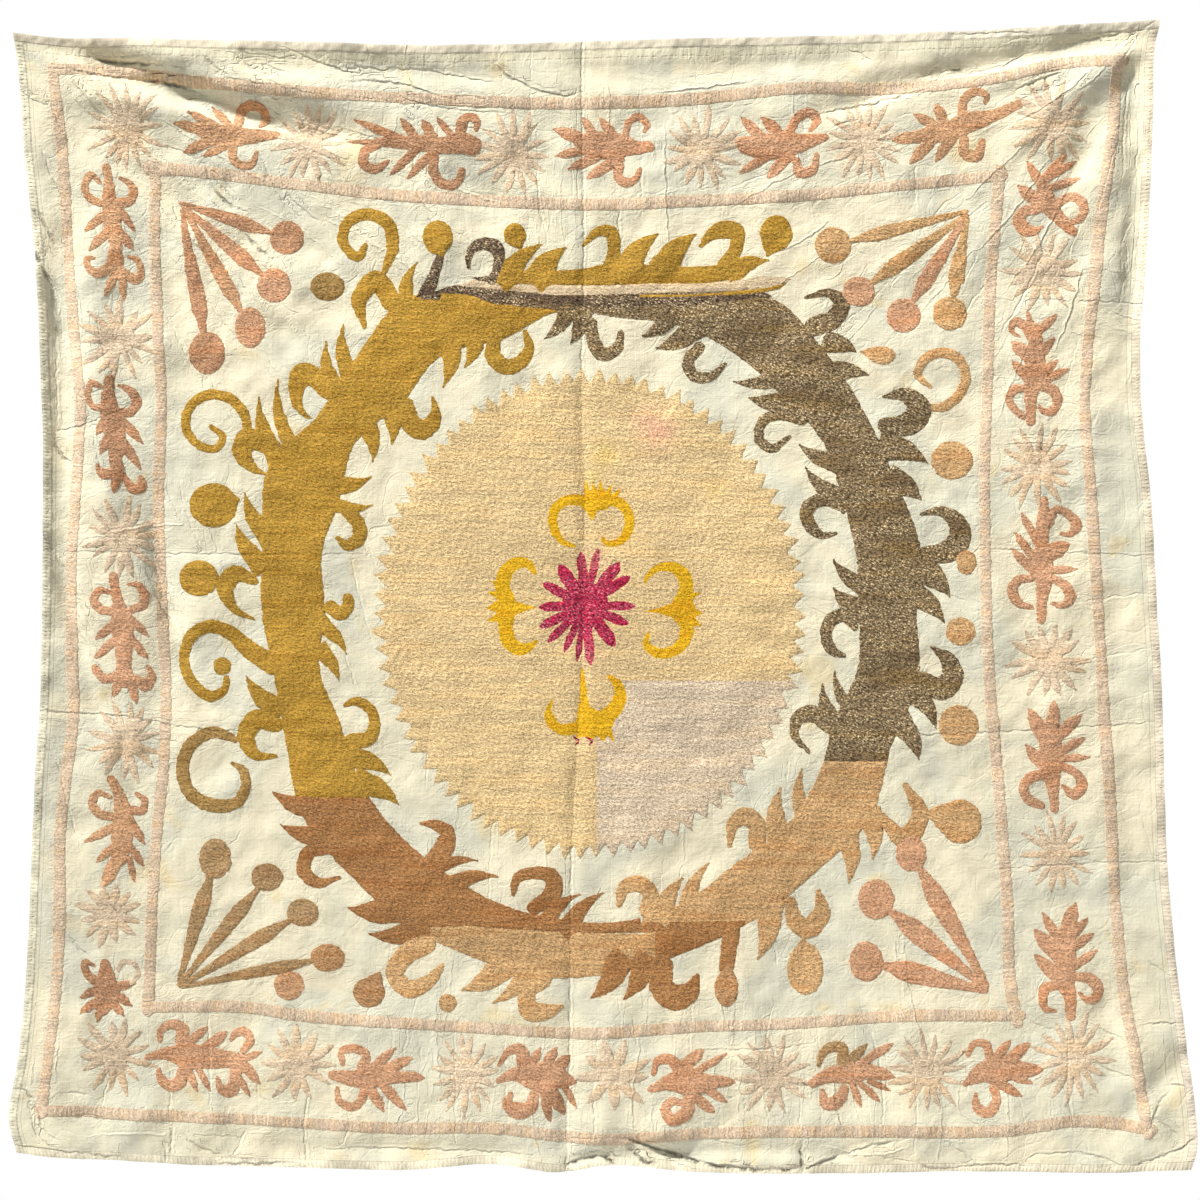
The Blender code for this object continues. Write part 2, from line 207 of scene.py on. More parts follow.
# Small creases in pattern units: start x, y, end x, y, bow, half width, depth (mm)
PATTERN_UNIT = 0.00165
PATTERN_ZERO_X = 592.0
PATTERN_ZERO_Y = 41.0
CREASES = (
    (91,57,152,64,1,4.6,4.4), (153,64,188,69,0,3.4,1.8), (100,60,143,67,2,3.2,1.4),
    (61,69,151,79,2,4.4,1.8), (146,78,198,91,-1,4.6,3.4), (182,86,244,108,-2,7,8),
    (244,108,272,118,0,5,2.6), (141,55,186,70,2,3.2,1.2), (237,56,277,79,3,3.2,1.5),
    (222,53,330,60,1,3,0.8), (67,71,110,120,3,3.2,1.4), (79,74,114,104,3,3.2,1.2),
    (100,74,151,106,2,3.4,1.2), (22,91,53,106,4,3,1.1), (22,81,41,98,2,3,0.9),
    (179,87,197,106,1,3,1), (204,159,226,210,2,3.6,1.3), (212,181,251,216,2,3.6,1.3),
    (261,153,296,220,3,3,1.2), (281,187,322,224,2,3,1.1), (251,93,280,114,1,3.4,1.3),
    (32,204,47,228,1,3.6,1.4), (96,108,128,160,3,3.2,0.9), (330,160,400,240,2,3.2,0.8),
    (498,67,531,87,2,3.2,2), (531,87,577,95,3,3.2,1.9), (380,68,441,73,-1,3,1.3),
    (441,73,487,81,1,3,1.4), (537,171,547,240,2,3,1.2), (415,187,437,220,2,3,1.3),
    (437,220,470,241,2,3,1.2), (619,200,620,232,0,3,1), (658,183,682,200,1,3,0.7),
    (640,100,642,205,0,3,0.7), (572,130,573,200,0,3,0.6), (959,34,1027,32,0,3,1),
    (850,50,871,60,-2,3,1), (1151,24,1105,58,3,3.4,1.2), (1148,27,1118,72,3,3.2,1),
    (972,72,1025,54,3,4,1.3), (922,77,940,62,1,3,1), (830,111,922,90,2,4.6,1.8),
    (1020,95,1083,77,2,3.2,1.1), (1018,100,1060,81,2,3.2,1.1), (1131,79,1124,171,2,4.4,1.3),
    (915,164,916,207,0,3,0.9), (880,160,883,192,0,3,0.8), (1136,82,1143,84,0,3,1.2),
    (1140,113,1138,170,0,3.6,1.1), (12,1089,25,1089,1,3,1.2), (25,1089,42,1130,-3,3.8,2),
    (42,1130,57,1141,1,3.4,1.4), (28,1100,39,1139,2,3.2,1.5), (64,1093,90,1096,-1,3,1),
    (71,937,88,955,2,4.2,1.6), (17,1146,85,1153,1,3,1.3), (85,1153,118,1158,1,3,1.2),
    (172,1125,171,1155,0,3,1.5), (162,1142,167,1160,0,3,1.2), (181,1134,221,1157,3,3.2,1.4),
    (221,1165,289,1164,1,3,1.8), (246,1132,233,1159,1,3,1.1), (208,1012,210,1109,0,3,1),
    (183,1013,185,1045,0,3,0.8), (256,1087,267,1101,3,3,1), (1027,1019,1056,1031,1,3,1),
    (1091,1024,1124,1039,1,3.2,1.2), (1099,1064,1131,1076,2,3.2,1.1), (920,1164,954,1168,2,3,1.6),
    (954,1168,1024,1165,-3,3,1.5), (1027,1156,1074,1152,-2,3.2,1.3),
    (1074,1152,1117,1163,-2,3.2,1.3), (1134,1164,1170,1152,1,3.4,1.8),
    (1170,1152,1194,1138,2,3.4,1.6), (1150,1126,1170,1092,-4,3,1.2),
    (1152,1119,1181,1140,-3,3.2,1.3), (1170,1085,1188,1089,-2,3,1.2),
    (1143,1026,1179,1024,-2,3,1.2), (1150,960,1168,974,2,3,1.2), (947,1140,979,1162,1,3.2,1.1),
    (961,1115,979,1124,1,3,0.9), (627,1137,664,1149,1,3,3.4), (664,1149,700,1162,1,3.4,3.6),
    (700,1162,764,1168,1,3.2,3.6), (764,1168,800,1168,0,3,3.2), (567,1164,604,1155,-1,3.2,3.6),
    (603,1155,614,1163,0,3.2,3.4), (594,1099,595,1134,0,3,1.2), (802,1138,803,1170,0,3,1.5),
    (330,1150,520,1154,-2,3.2,1.2), (455,1040,456,1150,0,3,0.8), (505,1040,507,1120,0,3,0.7),
    (812,1156,910,1160,-2,3,1), (49,433,73,465,2,3.6,1.5), (45,535,71,580,2,4.6,1.3),
    (71,580,92,629,2,4.2,1.6), (145,563,173,629,3,4.6,1.5), (75,626,108,678,2,4,1.3),
    (39,735,55,759,1,3.6,1.3), (46,250,56,420,-3,4.2,1.3), (58,760,78,840,2,4,1.1),
    (34,710,92,714,1,3,1.4), (92,714,173,726,-1,3,1.5), (173,726,239,731,1,3,1.3),
    (43,551,373,555,1,3,0.9), (850,737,1160,722,2,3,1), (985,548,1155,556,1,3,0.8),
    (1000,300,1150,303,-1,3,0.9), (1010,868,1168,862,-1,3,0.9), (800,600,880,640,2,3.2,0.5),
    (352,560,372,640,1,3,0.7), (345,650,372,722,2,3,0.7), (362,520,378,570,1,3,0.6),
    (37,252,53,286,1,4.4,2.8), (48,284,69,351,2,6.5,6.2), (69,351,92,418,2,7,5.8),
    (40,211,57,246,1,4.6,2), (142,244,156,318,2,5,2.2), (163,266,190,330,2,7,5),
    (222,364,236,392,1,5,2), (216,190,236,210,1,4.6,2.6), (245,234,272,260,1,4.6,2.6),
    (205,128,246,176,3,5,2.2), (50,438,70,464,2,4.6,2), (49,540,64,582,2,5.2,1.8),
    (62,576,79,648,2,6.5,7.2), (78,642,99,718,2,7.5,7), (121,480,153,522,3,6.5,6),
    (152,516,159,570,1,6.5,5.4), (157,562,182,656,3,7.5,8), (180,650,210,714,3,7.5,7),
    (207,443,236,482,2,6,4), (104,690,128,742,2,5,2.4), (955,74,1022,55,2,6,2.6),
    (1016,57,1088,37,2,5.4,2.6), (1086,38,1142,28,1,4.4,1.8), (990,97,1022,87,1,5,2.4),
    (1020,88,1058,73,1,4.6,2.6), (1146,52,1135,110,1,5,1.8), (1136,104,1126,140,1,5.4,2.2),
    (1127,134,1115,238,2,6.5,2.6), (1136,170,1128,300,2,5,1.6), (628,1146,637,1157,-1,3.2,3.6),
    (636,1156,656,1164,1,3.2,3.6), (800,1148,803,1170,0,3,3.2), (802,1170,840,1155,-1,4,2.6),
    (562,1104,564,1150,0,5,2.8), (839,1155,900,1140,-2,4.4,1.8), (440,1146,520,1156,3,5,2),
    (222,170,258,222,3,6.5,4.6), (286,206,322,262,3,6.5,4.4), (112,92,160,128,2,5,2.6),
    (300,110,372,150,3,6,2.6), (330,60,398,100,4,6,2.4), (700,1092,726,1120,2,5,1.8),
    (1096,100,1078,132,2,5,2.2), (118,742,140,800,2,6,3.8), (253,62,285,90,3,3,1.5),
    (201,54,233,78,2,3,1.5), (289,50,368,76,3,3.2,1.5), (336,62,400,72,1,3,1.3),
    (209,72,249,84,1,3,1.3), (265,110,289,141,2,3,1.1), (48,94,70,141,2,3,1.3),
    (42,149,66,201,2,3,1.3), (86,177,98,233,2,3,1.1), (380,84,420,128,2,3,1),
)


def ease(value):
    """Smooth step from 0 to 1."""
    value = np.clip(value, 0.0, 1.0)
    return value * value * (3 - 2 * value)


def near_line(flat_x, flat_z, by_height, row):
    """Places near one line: which, distance to its side, and how strong it is there."""
    x0, z0, x1, z1, bow, half_width = row[:6]
    run = np.array((x1 - x0, z1 - z0))
    length = np.hypot(*run)
    run = run / length
    reach = 3.2 * half_width + abs(bow) + FOLD_EASE * length
    order, heights = by_height
    first, last = np.searchsorted(heights, (min(z0, z1) - reach, max(z0, z1) + reach))
    close = order[first:last]
    near = flat_x[close]
    close = close[(near > min(x0, x1) - reach) & (near < max(x0, x1) + reach)]
    px, pz = flat_x[close], flat_z[close]
    along = ((px - x0) * run[0] + (pz - z0) * run[1]) / length
    inside = np.clip(along, 0.0, 1.0)
    aside = (pz - z0) * run[0] - (px - x0) * run[1]
    aside = aside + bow * 4 * inside * (1 - inside)
    ends = ease((along + FOLD_EASE) / FOLD_EASE / 2)
    return close, aside, ends * ease((1 + FOLD_EASE - along) / FOLD_EASE / 2)


def sorted_by_height(flat_z):
    """The places in order of height, and their heights, so that each line finds its own."""
    order = np.argsort(flat_z, kind="stable")
    return order, flat_z[order]


def line_depth(x, z, rows):
    """How far rows of folds push the cloth back (+) or forward (-)."""
    depth = np.zeros(np.shape(x)).ravel()
    flat_x, flat_z = np.ravel(x), np.ravel(z)
    by_height = sorted_by_height(flat_z)
    for row in rows:
        close, aside, ends = near_line(flat_x, flat_z, by_height, row)
        half_width, height, lean = row[5:]
        width = half_width * (1 + lean * np.tanh(aside / half_width))
        depth[close] += height * ends * np.exp(-((aside / width) ** 2))
    return depth.reshape(np.shape(x))


def to_metres(x, y):
    """Pattern units, y down, to metres, z up."""
    return (x - PATTERN_ZERO_X) * PATTERN_UNIT, (PATTERN_ZERO_Y - y) * PATTERN_UNIT


def crease_rows(creases):
    """Creases in pattern units as rows that line_depth reads."""
    rows = []
    for x0, y0, x1, y1, bow, half_width, depth in creases:
        start, end = to_metres(x0, y0), to_metres(x1, y1)
        size = (bow * PATTERN_UNIT, half_width * PATTERN_UNIT, depth / 1000, 0.0)
        rows.append((*start, *end, *size))
    return rows


print(len(FOLDS), "folds and", len(CREASES), "creases")

# %% [markdown]
# ## The stitched shapes
# The makers drew a few simple strokes by hand and repeated them: a pointed
# leaf, a curl, a drop, a toothed disc and a rosette. Each stroke is a small
# function here, and short tables say where each one stands. The tables are in
# pattern units, x to the right and y down, as a drawing on paper would be.

# %% Strokes: leaf, curl, drop
HAND_SEED = 41
EDGE_STEP = 2.7
EDGE_ROUGHNESS = 0.42
LEAF_ROOT = 0.36
LEAF_TIP = 1.1
CURL_STEP = 2.4
RING_MIDDLE = (590.0, 612.0)

hand = np.random.default_rng(HAND_SEED)


def leaf(tip_x, tip_y, base_x, base_y, width, bend=0.0, blunt=4.2, flare=0.0):
    """Leaf from its base to its tip, rooted below the base; a low blunt is pointed."""
    base = np.array((base_x, base_y))
    run = np.array((tip_x, tip_y)) - base
    side = np.array((-run[1], run[0])) / np.hypot(*run)
    t = np.linspace(-LEAF_ROOT, 1.0, 15)
    inside = np.clip(t, 0, 1)
    bow = bend * np.hypot(*run) * 4 * inside * (1 - inside)
    centre = base + t[:, None] * run + bow[:, None] * side
    half = width / 2 * (1 - inside**blunt) * (1 + 0.14 * np.sin(np.pi * inside))
    half = half * (1 + flare * (1 - inside) ** 3)
    half = np.maximum(half, LEAF_TIP * (1 - 0.3 * inside))
    left, right = centre + half[:, None] * side, centre - half[:, None] * side
    return np.concatenate((left, right[::-1]))


def curl(points):
    """Ribbon with round ends through rows of (x, y, width)."""
    points = np.array(points, dtype=float)
    steps = np.hypot(*np.diff(points[:, :2], axis=0).T)
    place = np.concatenate(([0.0], np.cumsum(steps)))
    count = max(8, int(place[-1] / CURL_STEP))
    at = np.linspace(0.0, place[-1], count)
    line = smooth_through(np.column_stack((place, points)), at)
    centre, half = line[:, :2], np.maximum(line[:, 2], 1.6) / 2
    along = np.gradient(centre, axis=0)
    along /= np.hypot(*along.T)[:, None]
    side = np.column_stack((-along[:, 1], along[:, 0]))
    left, right = centre + half[:, None] * side, centre - half[:, None] * side
    turn = np.linspace(0.0, np.pi, 7)[1:-1, None]
    far = centre[-1] + half[-1] * (np.cos(turn) * side[-1] + np.sin(turn) * along[-1])
    near = centre[0] - half[0] * (np.cos(turn) * side[0] + np.sin(turn) * along[0])
    return np.concatenate((left, far, right[::-1], near))


def oval(x, y, radius_x, radius_y, steps=28):
    """Plain oval."""
    turn = np.linspace(0, 2 * np.pi, steps, endpoint=False)
    return np.column_stack((x + radius_x * np.cos(turn), y + radius_y * np.sin(turn)))


def by_hand(loop):
    """The same outline with the small steps that separate threads leave."""
    loop = np.asarray(loop, dtype=float)
    after = np.roll(loop, -1, axis=0)
    parts = []
    for start, end in zip(loop, after):
        count = max(1, int(round(np.hypot(*(end - start)) / EDGE_STEP)))
        share = np.arange(count)[:, None] / count
        parts.append(start + share * (end - start))
    outline = np.concatenate(parts)
    step = hand.normal(size=outline.shape) * (EDGE_ROUGHNESS, EDGE_ROUGHNESS * 0.6)
    return outline + np.clip(step, -1.0, 1.0)


print("a leaf has", len(leaf(0, 0, 0, 30, 10)), "corners before its edge is worked")

# %% Dyes: the piece they belong to, then red, green, blue
DYES = {
    "straw": ("disc", (0.74, 0.54, 0.272)),
    "pale": ("disc", (0.81, 0.645, 0.452)),
    "gold": ("gold", (0.50, 0.285, 0.042)),
    "bronze": ("gold", (0.42, 0.255, 0.085)),
    "olive": ("olive", (0.235, 0.16, 0.08)),
    "umber": ("olive", (0.15, 0.098, 0.06)),
    "rust": ("rust", (0.42, 0.20, 0.07)),
    "caramel": ("rust", (0.66, 0.405, 0.183)),
    "tan": ("rust", (0.645, 0.395, 0.18)),
    "clay": ("rust", (0.53, 0.29, 0.13)),
    "salmon": ("salmon", (0.65, 0.358, 0.20)),
    "brick": ("salmon", (0.54, 0.29, 0.155)),
    "sand": ("salmon", (0.635, 0.358, 0.188)),
    "moss": ("salmon", (0.45, 0.285, 0.13)),
    "peach": ("peach", (0.755, 0.585, 0.40)),
    "border": ("peach", (0.745, 0.57, 0.395)),
    "cream": ("peach", (0.69, 0.53, 0.33)),
    "yellow": ("yellow", (0.80, 0.45, 0.014)),
    "magenta": ("magenta", (0.55, 0.026, 0.078)),
    "crimson": ("magenta", (0.42, 0.03, 0.05)),
}
print(len(DYES), "dyes in", len({piece for piece, _ in DYES.values()}), "threads")

# %% Ring: degrees counter-clockwise from the right, inner radius, outer radius
RING = (
    (0,268,326), (12,272,336), (24,276,332), (36,288,340), (48,289,351), (60,296,363),
    (72,301,330), (84,296,322), (96,302,322), (108,286,332), (120,296,363), (132,280,346),
    (144,289,335), (156,274,352), (168,274,334), (180,265,328), (192,276,322), (204,273,332),
    (216,285,353), (228,292,356), (240,297,362), (252,304,364), (264,308,367), (276,310,358),
    (288,304,351), (300,290,347), (312,290,344), (324,281,347), (336,267,329), (348,273,335),
)
# Where each thread was used up and the next one begins: dye, then a closed outline
RING_ZONES = (
    ("gold", ((150,200), (420,200), (424,297), (556,309), (556,400), (400,600), (400,797),
              (150,797))),
    ("olive", ((556,240), (1000,240), (1000,761), (700,761), (556,420))),
    ("tan", ((700,761), (1000,761), (1000,1050), (655,1050), (640,900), (636,800))),
    ("rust", ((150,797), (480,797), (640,800), (640,929), (560,931), (470,925), (380,928),
              (250,950), (150,900))),
    ("caramel", ((250,950), (380,928), (470,925), (560,931), (655,933), (655,1050), (300,1050))),
    ("rust", ((580,924), (655,921), (745,920), (745,934), (655,934), (655,931), (580,932))),
    ("rust", ((655,931), (745,931), (738,968), (655,970))),
)


def ring_loop(column, clockwise):
    """Inner or outer outline of the ring, as a closed loop."""
    rows = [RING[-1], *RING, RING[0], RING[1]]
    turns = [row[0] + shift for row, shift in zip(rows, [-360] + [0] * 30 + [360] * 2)]
    table = [(turn, row[column]) for turn, row in zip(turns, rows)]
    at = np.arange(0, 360, 2.0)
    radius = smooth_through(table, at)[:, 0]
    turn = np.radians(at)
    loop = np.column_stack((radius * np.cos(turn), -radius * np.sin(turn)))
    loop = loop + RING_MIDDLE
    return loop[::-1] if clockwise else loop


print("ring is", RING[15][1] + RING[0][1], "units across inside")

# %% Leaves, rows of: tip x, tip y, base x, base y, width at the base
RING_LEAVES = {
    "gold": (
        (344,325,348,368,13), (327,341,334,384,13), (279,379,291,443,12), (260,397,277,455,16),
        (372,477,340,485,14), (374,505,338,505,11), (373,462,368,427,15), (392,445,390,406,17),
        (465,368,475,342,14), (443,388,451,346,16), (417,263,406,300,12), (245,492,265,531,15),
        (237,524,257,559,16), (246,675,272,704,16), (347,654,326,628,12), (339,681,324,654,12),
        (391,775,357,758,16), (399,804,365,784,18), (542,244,510,274,17), (566,247,541,274,20),
        (659,233,631,262,19), (697,233,668,262,20), (769,260,738,269,15), (553,311,470,306,16),
    ),
    "rust": (
        (272,791,308,806,16), (280,824,315,834,15), (478,860,438,867,11), (499,876,457,882,13),
        (580,893,549,917,12), (603,892,572,922,14), (348,907,391,907,22), (369,933,414,929,18),
        (590,997,616,965,20), (623,998,642,965,18),
    ),
    "caramel": ((462,989,497,969,20), (492,1002,523,976,13)),
    "tan": (
        (683,877,664,909,16), (709,862,688,902,13), (780,787,779,833,18), (802,768,802,811,12),
        (848,883,848,842,16), (872,859,870,820,17), (757,959,768,913,20),
    ),
    "olive": (
        (544,339,566,314,13), (570,344,581,317,14), (642,336,666,320,14), (655,348,690,330,18),
        (733,381,777,377,13), (748,397,786,400,17), (799,444,830,460,14), (805,467,838,496,15),
        (833,559,860,584,14), (833,587,856,607,16), (834,670,848,705,11), (822,683,834,721,14),
        (857,352,832,343,16), (869,375,834,372,16), (928,463,891,448,20), (921,500,895,482,20),
        (950,597,922,570,22), (944,623,918,597,18), (936,729,916,695,16), (918,760,903,727,17),
    ),
}
PALMETTE_LEAVES = {
    "salmon": (
        (553,128,586,140,14), (555,156,581,150,10), (568,169,600,154,12), (586,178,613,161,12),
        (583,117,592,132,10), (599,117,613,134,11), (741,117,760,136,12), (761,117,780,134,13),
        (734,140,753,147,18), (739,173,767,156,10), (767,178,785,159,13), (1027,161,1041,185,11),
        (1017,185,1038,202,14), (1067,153,1046,176,10), (1077,160,1050,176,9),
        (1082,177,1054,186,9), (1027,309,1032,328,7), (1057,314,1038,331,10),
        (1055,337,1040,354,11), (1058,359,1043,374,10), (1069,368,1047,379,9),
        (1012,341,1029,356,15), (1012,360,1029,378,12), (1021,512,1034,536,9),
        (1015,532,1032,555,10), (1011,548,1032,569,11), (1070,543,1048,554,18),
        (1077,569,1052,570,9), (1028,708,1043,736,16), (1053,700,1053,723,13),
        (1082,714,1059,734,14), (1085,737,1061,751,10), (1090,757,1063,758,9),
        (1025,744,1043,766,13), (1076,902,1066,930,16), (1088,918,1071,935,11),
        (1094,933,1073,946,11), (1097,950,1075,964,10), (1042,912,1055,934,11),
        (1034,929,1055,953,17), (1034,954,1057,976,15), (207,1027,189,1042,10),
        (227,1032,209,1045,12), (262,1052,243,1059,8), (260,1084,241,1063,12),
        (197,1092,187,1070,9), (210,1092,198,1070,8), (249,1097,238,1077,8),
        (396,1047,377,1063,10), (413,1057,389,1067,12), (384,1112,370,1088,12),
        (406,1110,384,1086,12), (425,1077,404,1076,11), (541,1046,531,1063,10),
        (557,1046,545,1065,12), (703,1048,685,1063,14), (727,1051,697,1069,8),
        (726,1100,707,1087,10), (714,1111,695,1095,12), (735,1080,712,1079,12),
        (893,1042,868,1058,10), (861,1107,853,1086,9), (895,1076,868,1070,15),
        (1010,1039,996,1056,11), (1029,1042,1009,1058,13), (1032,1082,1010,1075,9),
        (1042,1069,1022,1068,14), (94,639,112,625,10), (94,658,114,640,10), (148,636,131,619,9),
        (147,659,131,639,10), (112,697,119,679,10), (136,704,130,682,10),
    ),
    "sand": (
        (175,124,203,130,12), (188,112,214,126,10), (210,105,228,124,9), (184,153,210,142,12),
        (204,157,224,147,10), (913,114,934,124,11), (936,103,943,119,12), (909,164,930,142,13),
        (935,161,950,140,12), (892,140,918,136,13), (85,232,104,216,10), (90,251,109,232,11),
        (106,296,116,274,10), (124,301,123,277,9), (84,842,113,827,10), (96,862,114,846,9),
        (103,887,115,862,15),
    ),
    "brick": (
        (354,120,399,138,9), (347,142,378,142,6), (401,119,414,136,10), (422,120,432,136,12),
        (437,118,450,134,8), (390,175,413,153,10), (407,179,428,157,10), (135,231,121,211,9),
        (134,250,123,235,10), (97,435,107,418,11), (101,454,109,436,10), (144,444,122,420,11),
        (141,469,123,441,11), (114,493,118,474,10), (144,844,133,825,9), (143,866,131,848,9),
        (134,882,130,863,7), (136,983,114,987,10), (132,1006,114,994,10), (124,1016,111,1001,10),
        (97,1022,101,1004,10), (80,1013,96,1001,9), (80,998,96,989,9), (571,1054,556,1067,13),
        (550,1121,545,1097,10), (565,1114,550,1089,15), (577,1107,564,1085,8),
        (576,1081,560,1077,14), (880,1101,864,1086,8), (890,1090,873,1082,7),
        (1021,1095,998,1082,11),
    ),
    "moss": ((867,1043,850,1059,11),),
}
print(sum(map(len, RING_LEAVES.values())), "leaves on the ring and",
      sum(map(len, PALMETTE_LEAVES.values())), "in the border")

# %% Curls on the ring: rows of (x, y, width) along each one
RING_CURLS = {
    "gold": (
        ((393,303,20), (376,281,20), (360,299,16), (365,328,4)),
        ((384,273,5), (393,249,12), (388,224,13), (364,215,12), (346,226,11), (344,244,10),
         (360,257,9), (366,246,5)),
        ((326,392,14), (316,378,20), (304,374,22), (297,390,16), (301,410,8), (310,418,3)),
        ((267,449,10), (249,439,22), (243,451,20), (255,469,8), (266,474,3)),
        ((249,435,8), (245,414,10), (229,398,10), (210,395,10), (190,408,9), (187,429,9),
         (200,445,8), (218,448,8), (224,437,7), (212,427,5)),
        ((407,406,16), (411,423,20), (421,430,20), (433,423,16), (436,410,8), (433,398,3)),
        ((255,581,8), (235,574,18), (226,585,18), (235,609,8), (254,619,2)),
        ((274,665,20), (248,648,18), (231,633,14), (209,626,13), (190,637,12), (183,661,11),
         (194,685,11), (211,696,11), (224,689,8), (226,678,6)),
        ((276,724,16), (257,719,20), (246,737,18), (255,754,12), (276,756,3)),
        ((348,511,14), (359,524,14), (359,539,14), (348,545,11), (338,538,4)),
        ((331,607,14), (341,613,14), (349,604,12), (348,598,10)),
        ((352,741,16), (370,737,14), (375,722,11), (365,704,10), (354,701,8), (345,705,4)),
        ((494,340,14), (494,358,16), (505,367,16), (521,362,14), (529,347,10), (525,332,5)),
        ((611,268,18), (614,246,13), (610,231,13), (599,231,10), (583,245,3)),
        ((724,266,15), (736,247,13), (736,231,17), (724,229,18), (710,235,11), (701,245,4)),
    ),
    "bronze": (
        ((235,739,7), (213,732,12), (192,743,13), (182,767,13), (190,793,13), (213,805,14),
         (237,802,12), (246,784,10), (242,769,8), (232,763,3)),
    ),
    "rust": (
        ((329,848,10), (308,853,14), (304,870,14), (317,882,11), (340,877,3)),
        ((431,858,12), (445,846,20), (447,832,16), (435,824,10), (421,823,3)),
        ((534,907,14), (553,891,18), (553,877,16), (534,872,12), (518,877,10), (513,893,4)),
        ((662,965,22), (662,987,24), (675,996,26), (690,989,20), (697,974,4)),
        ((731,930,17), (726,967,15)),
    ),
    "caramel": (
        ((426,943,20), (405,955,20), (395,974,18), (409,988,18), (428,981,14), (442,965,5)),
        ((544,978,16), (527,992,16), (530,1009,20), (546,1010,16), (562,1005,4)),
    ),
    "tan": (
        ((647,909,16), (651,896,16), (640,883,16), (625,886,14), (619,904,5)),
        ((757,842,18), (755,822,18), (744,816,18), (734,822,14), (729,845,4)),
        ((880,815,8), (905,838,20), (920,815,18), (905,785,6)),
        ((790,902,12), (796,922,18), (807,928,20), (821,913,18), (818,891,5)),
        ((924,406,4), (941,407,9), (958,396,10), (966,377,10), (960,360,10), (943,352,10),
         (926,358,10), (918,374,9), (930,386,4)),
    ),
    "umber": (
        ((492,281,9), (497,268,9), (497,249,14), (487,244,13), (474,248,10), (468,260,6),
         (469,268,3)),
        ((440,259,9), (434,276,11), (427,293,15)),
    ),
    "olive": (
        ((592,321,8), (594,343,14), (603,354,14), (616,349,12), (621,332,5)),
        ((699,347,12), (688,362,12), (693,375,12), (708,377,10), (725,364,4)),
        ((801,418,14), (780,414,12), (763,421,10), (759,439,10), (771,448,9), (789,437,4)),
        ((842,505,12), (822,499,14), (807,509,14), (811,527,12), (822,535,8), (836,533,3)),
        ((854,627,8), (844,615,13), (830,621,13), (826,639,12), (834,652,9), (843,655,5)),
        ((828,727,12), (811,713,17), (799,717,14), (794,733,9), (809,752,3)),
        ((815,326,20), (834,318,18), (842,303,16), (830,293,10), (806,297,3)),
        ((884,425,14), (909,423,24), (920,410,24), (907,395,16), (884,396,3)),
        ((924,552,12), (946,552,22), (960,537,22), (956,521,18), (940,511,10), (921,514,3)),
        ((922,676,10), (940,688,24), (952,678,22), (948,660,16), (931,647,3)),
    ),
}
print(sum(map(len, RING_CURLS.values())), "curls on the ring")

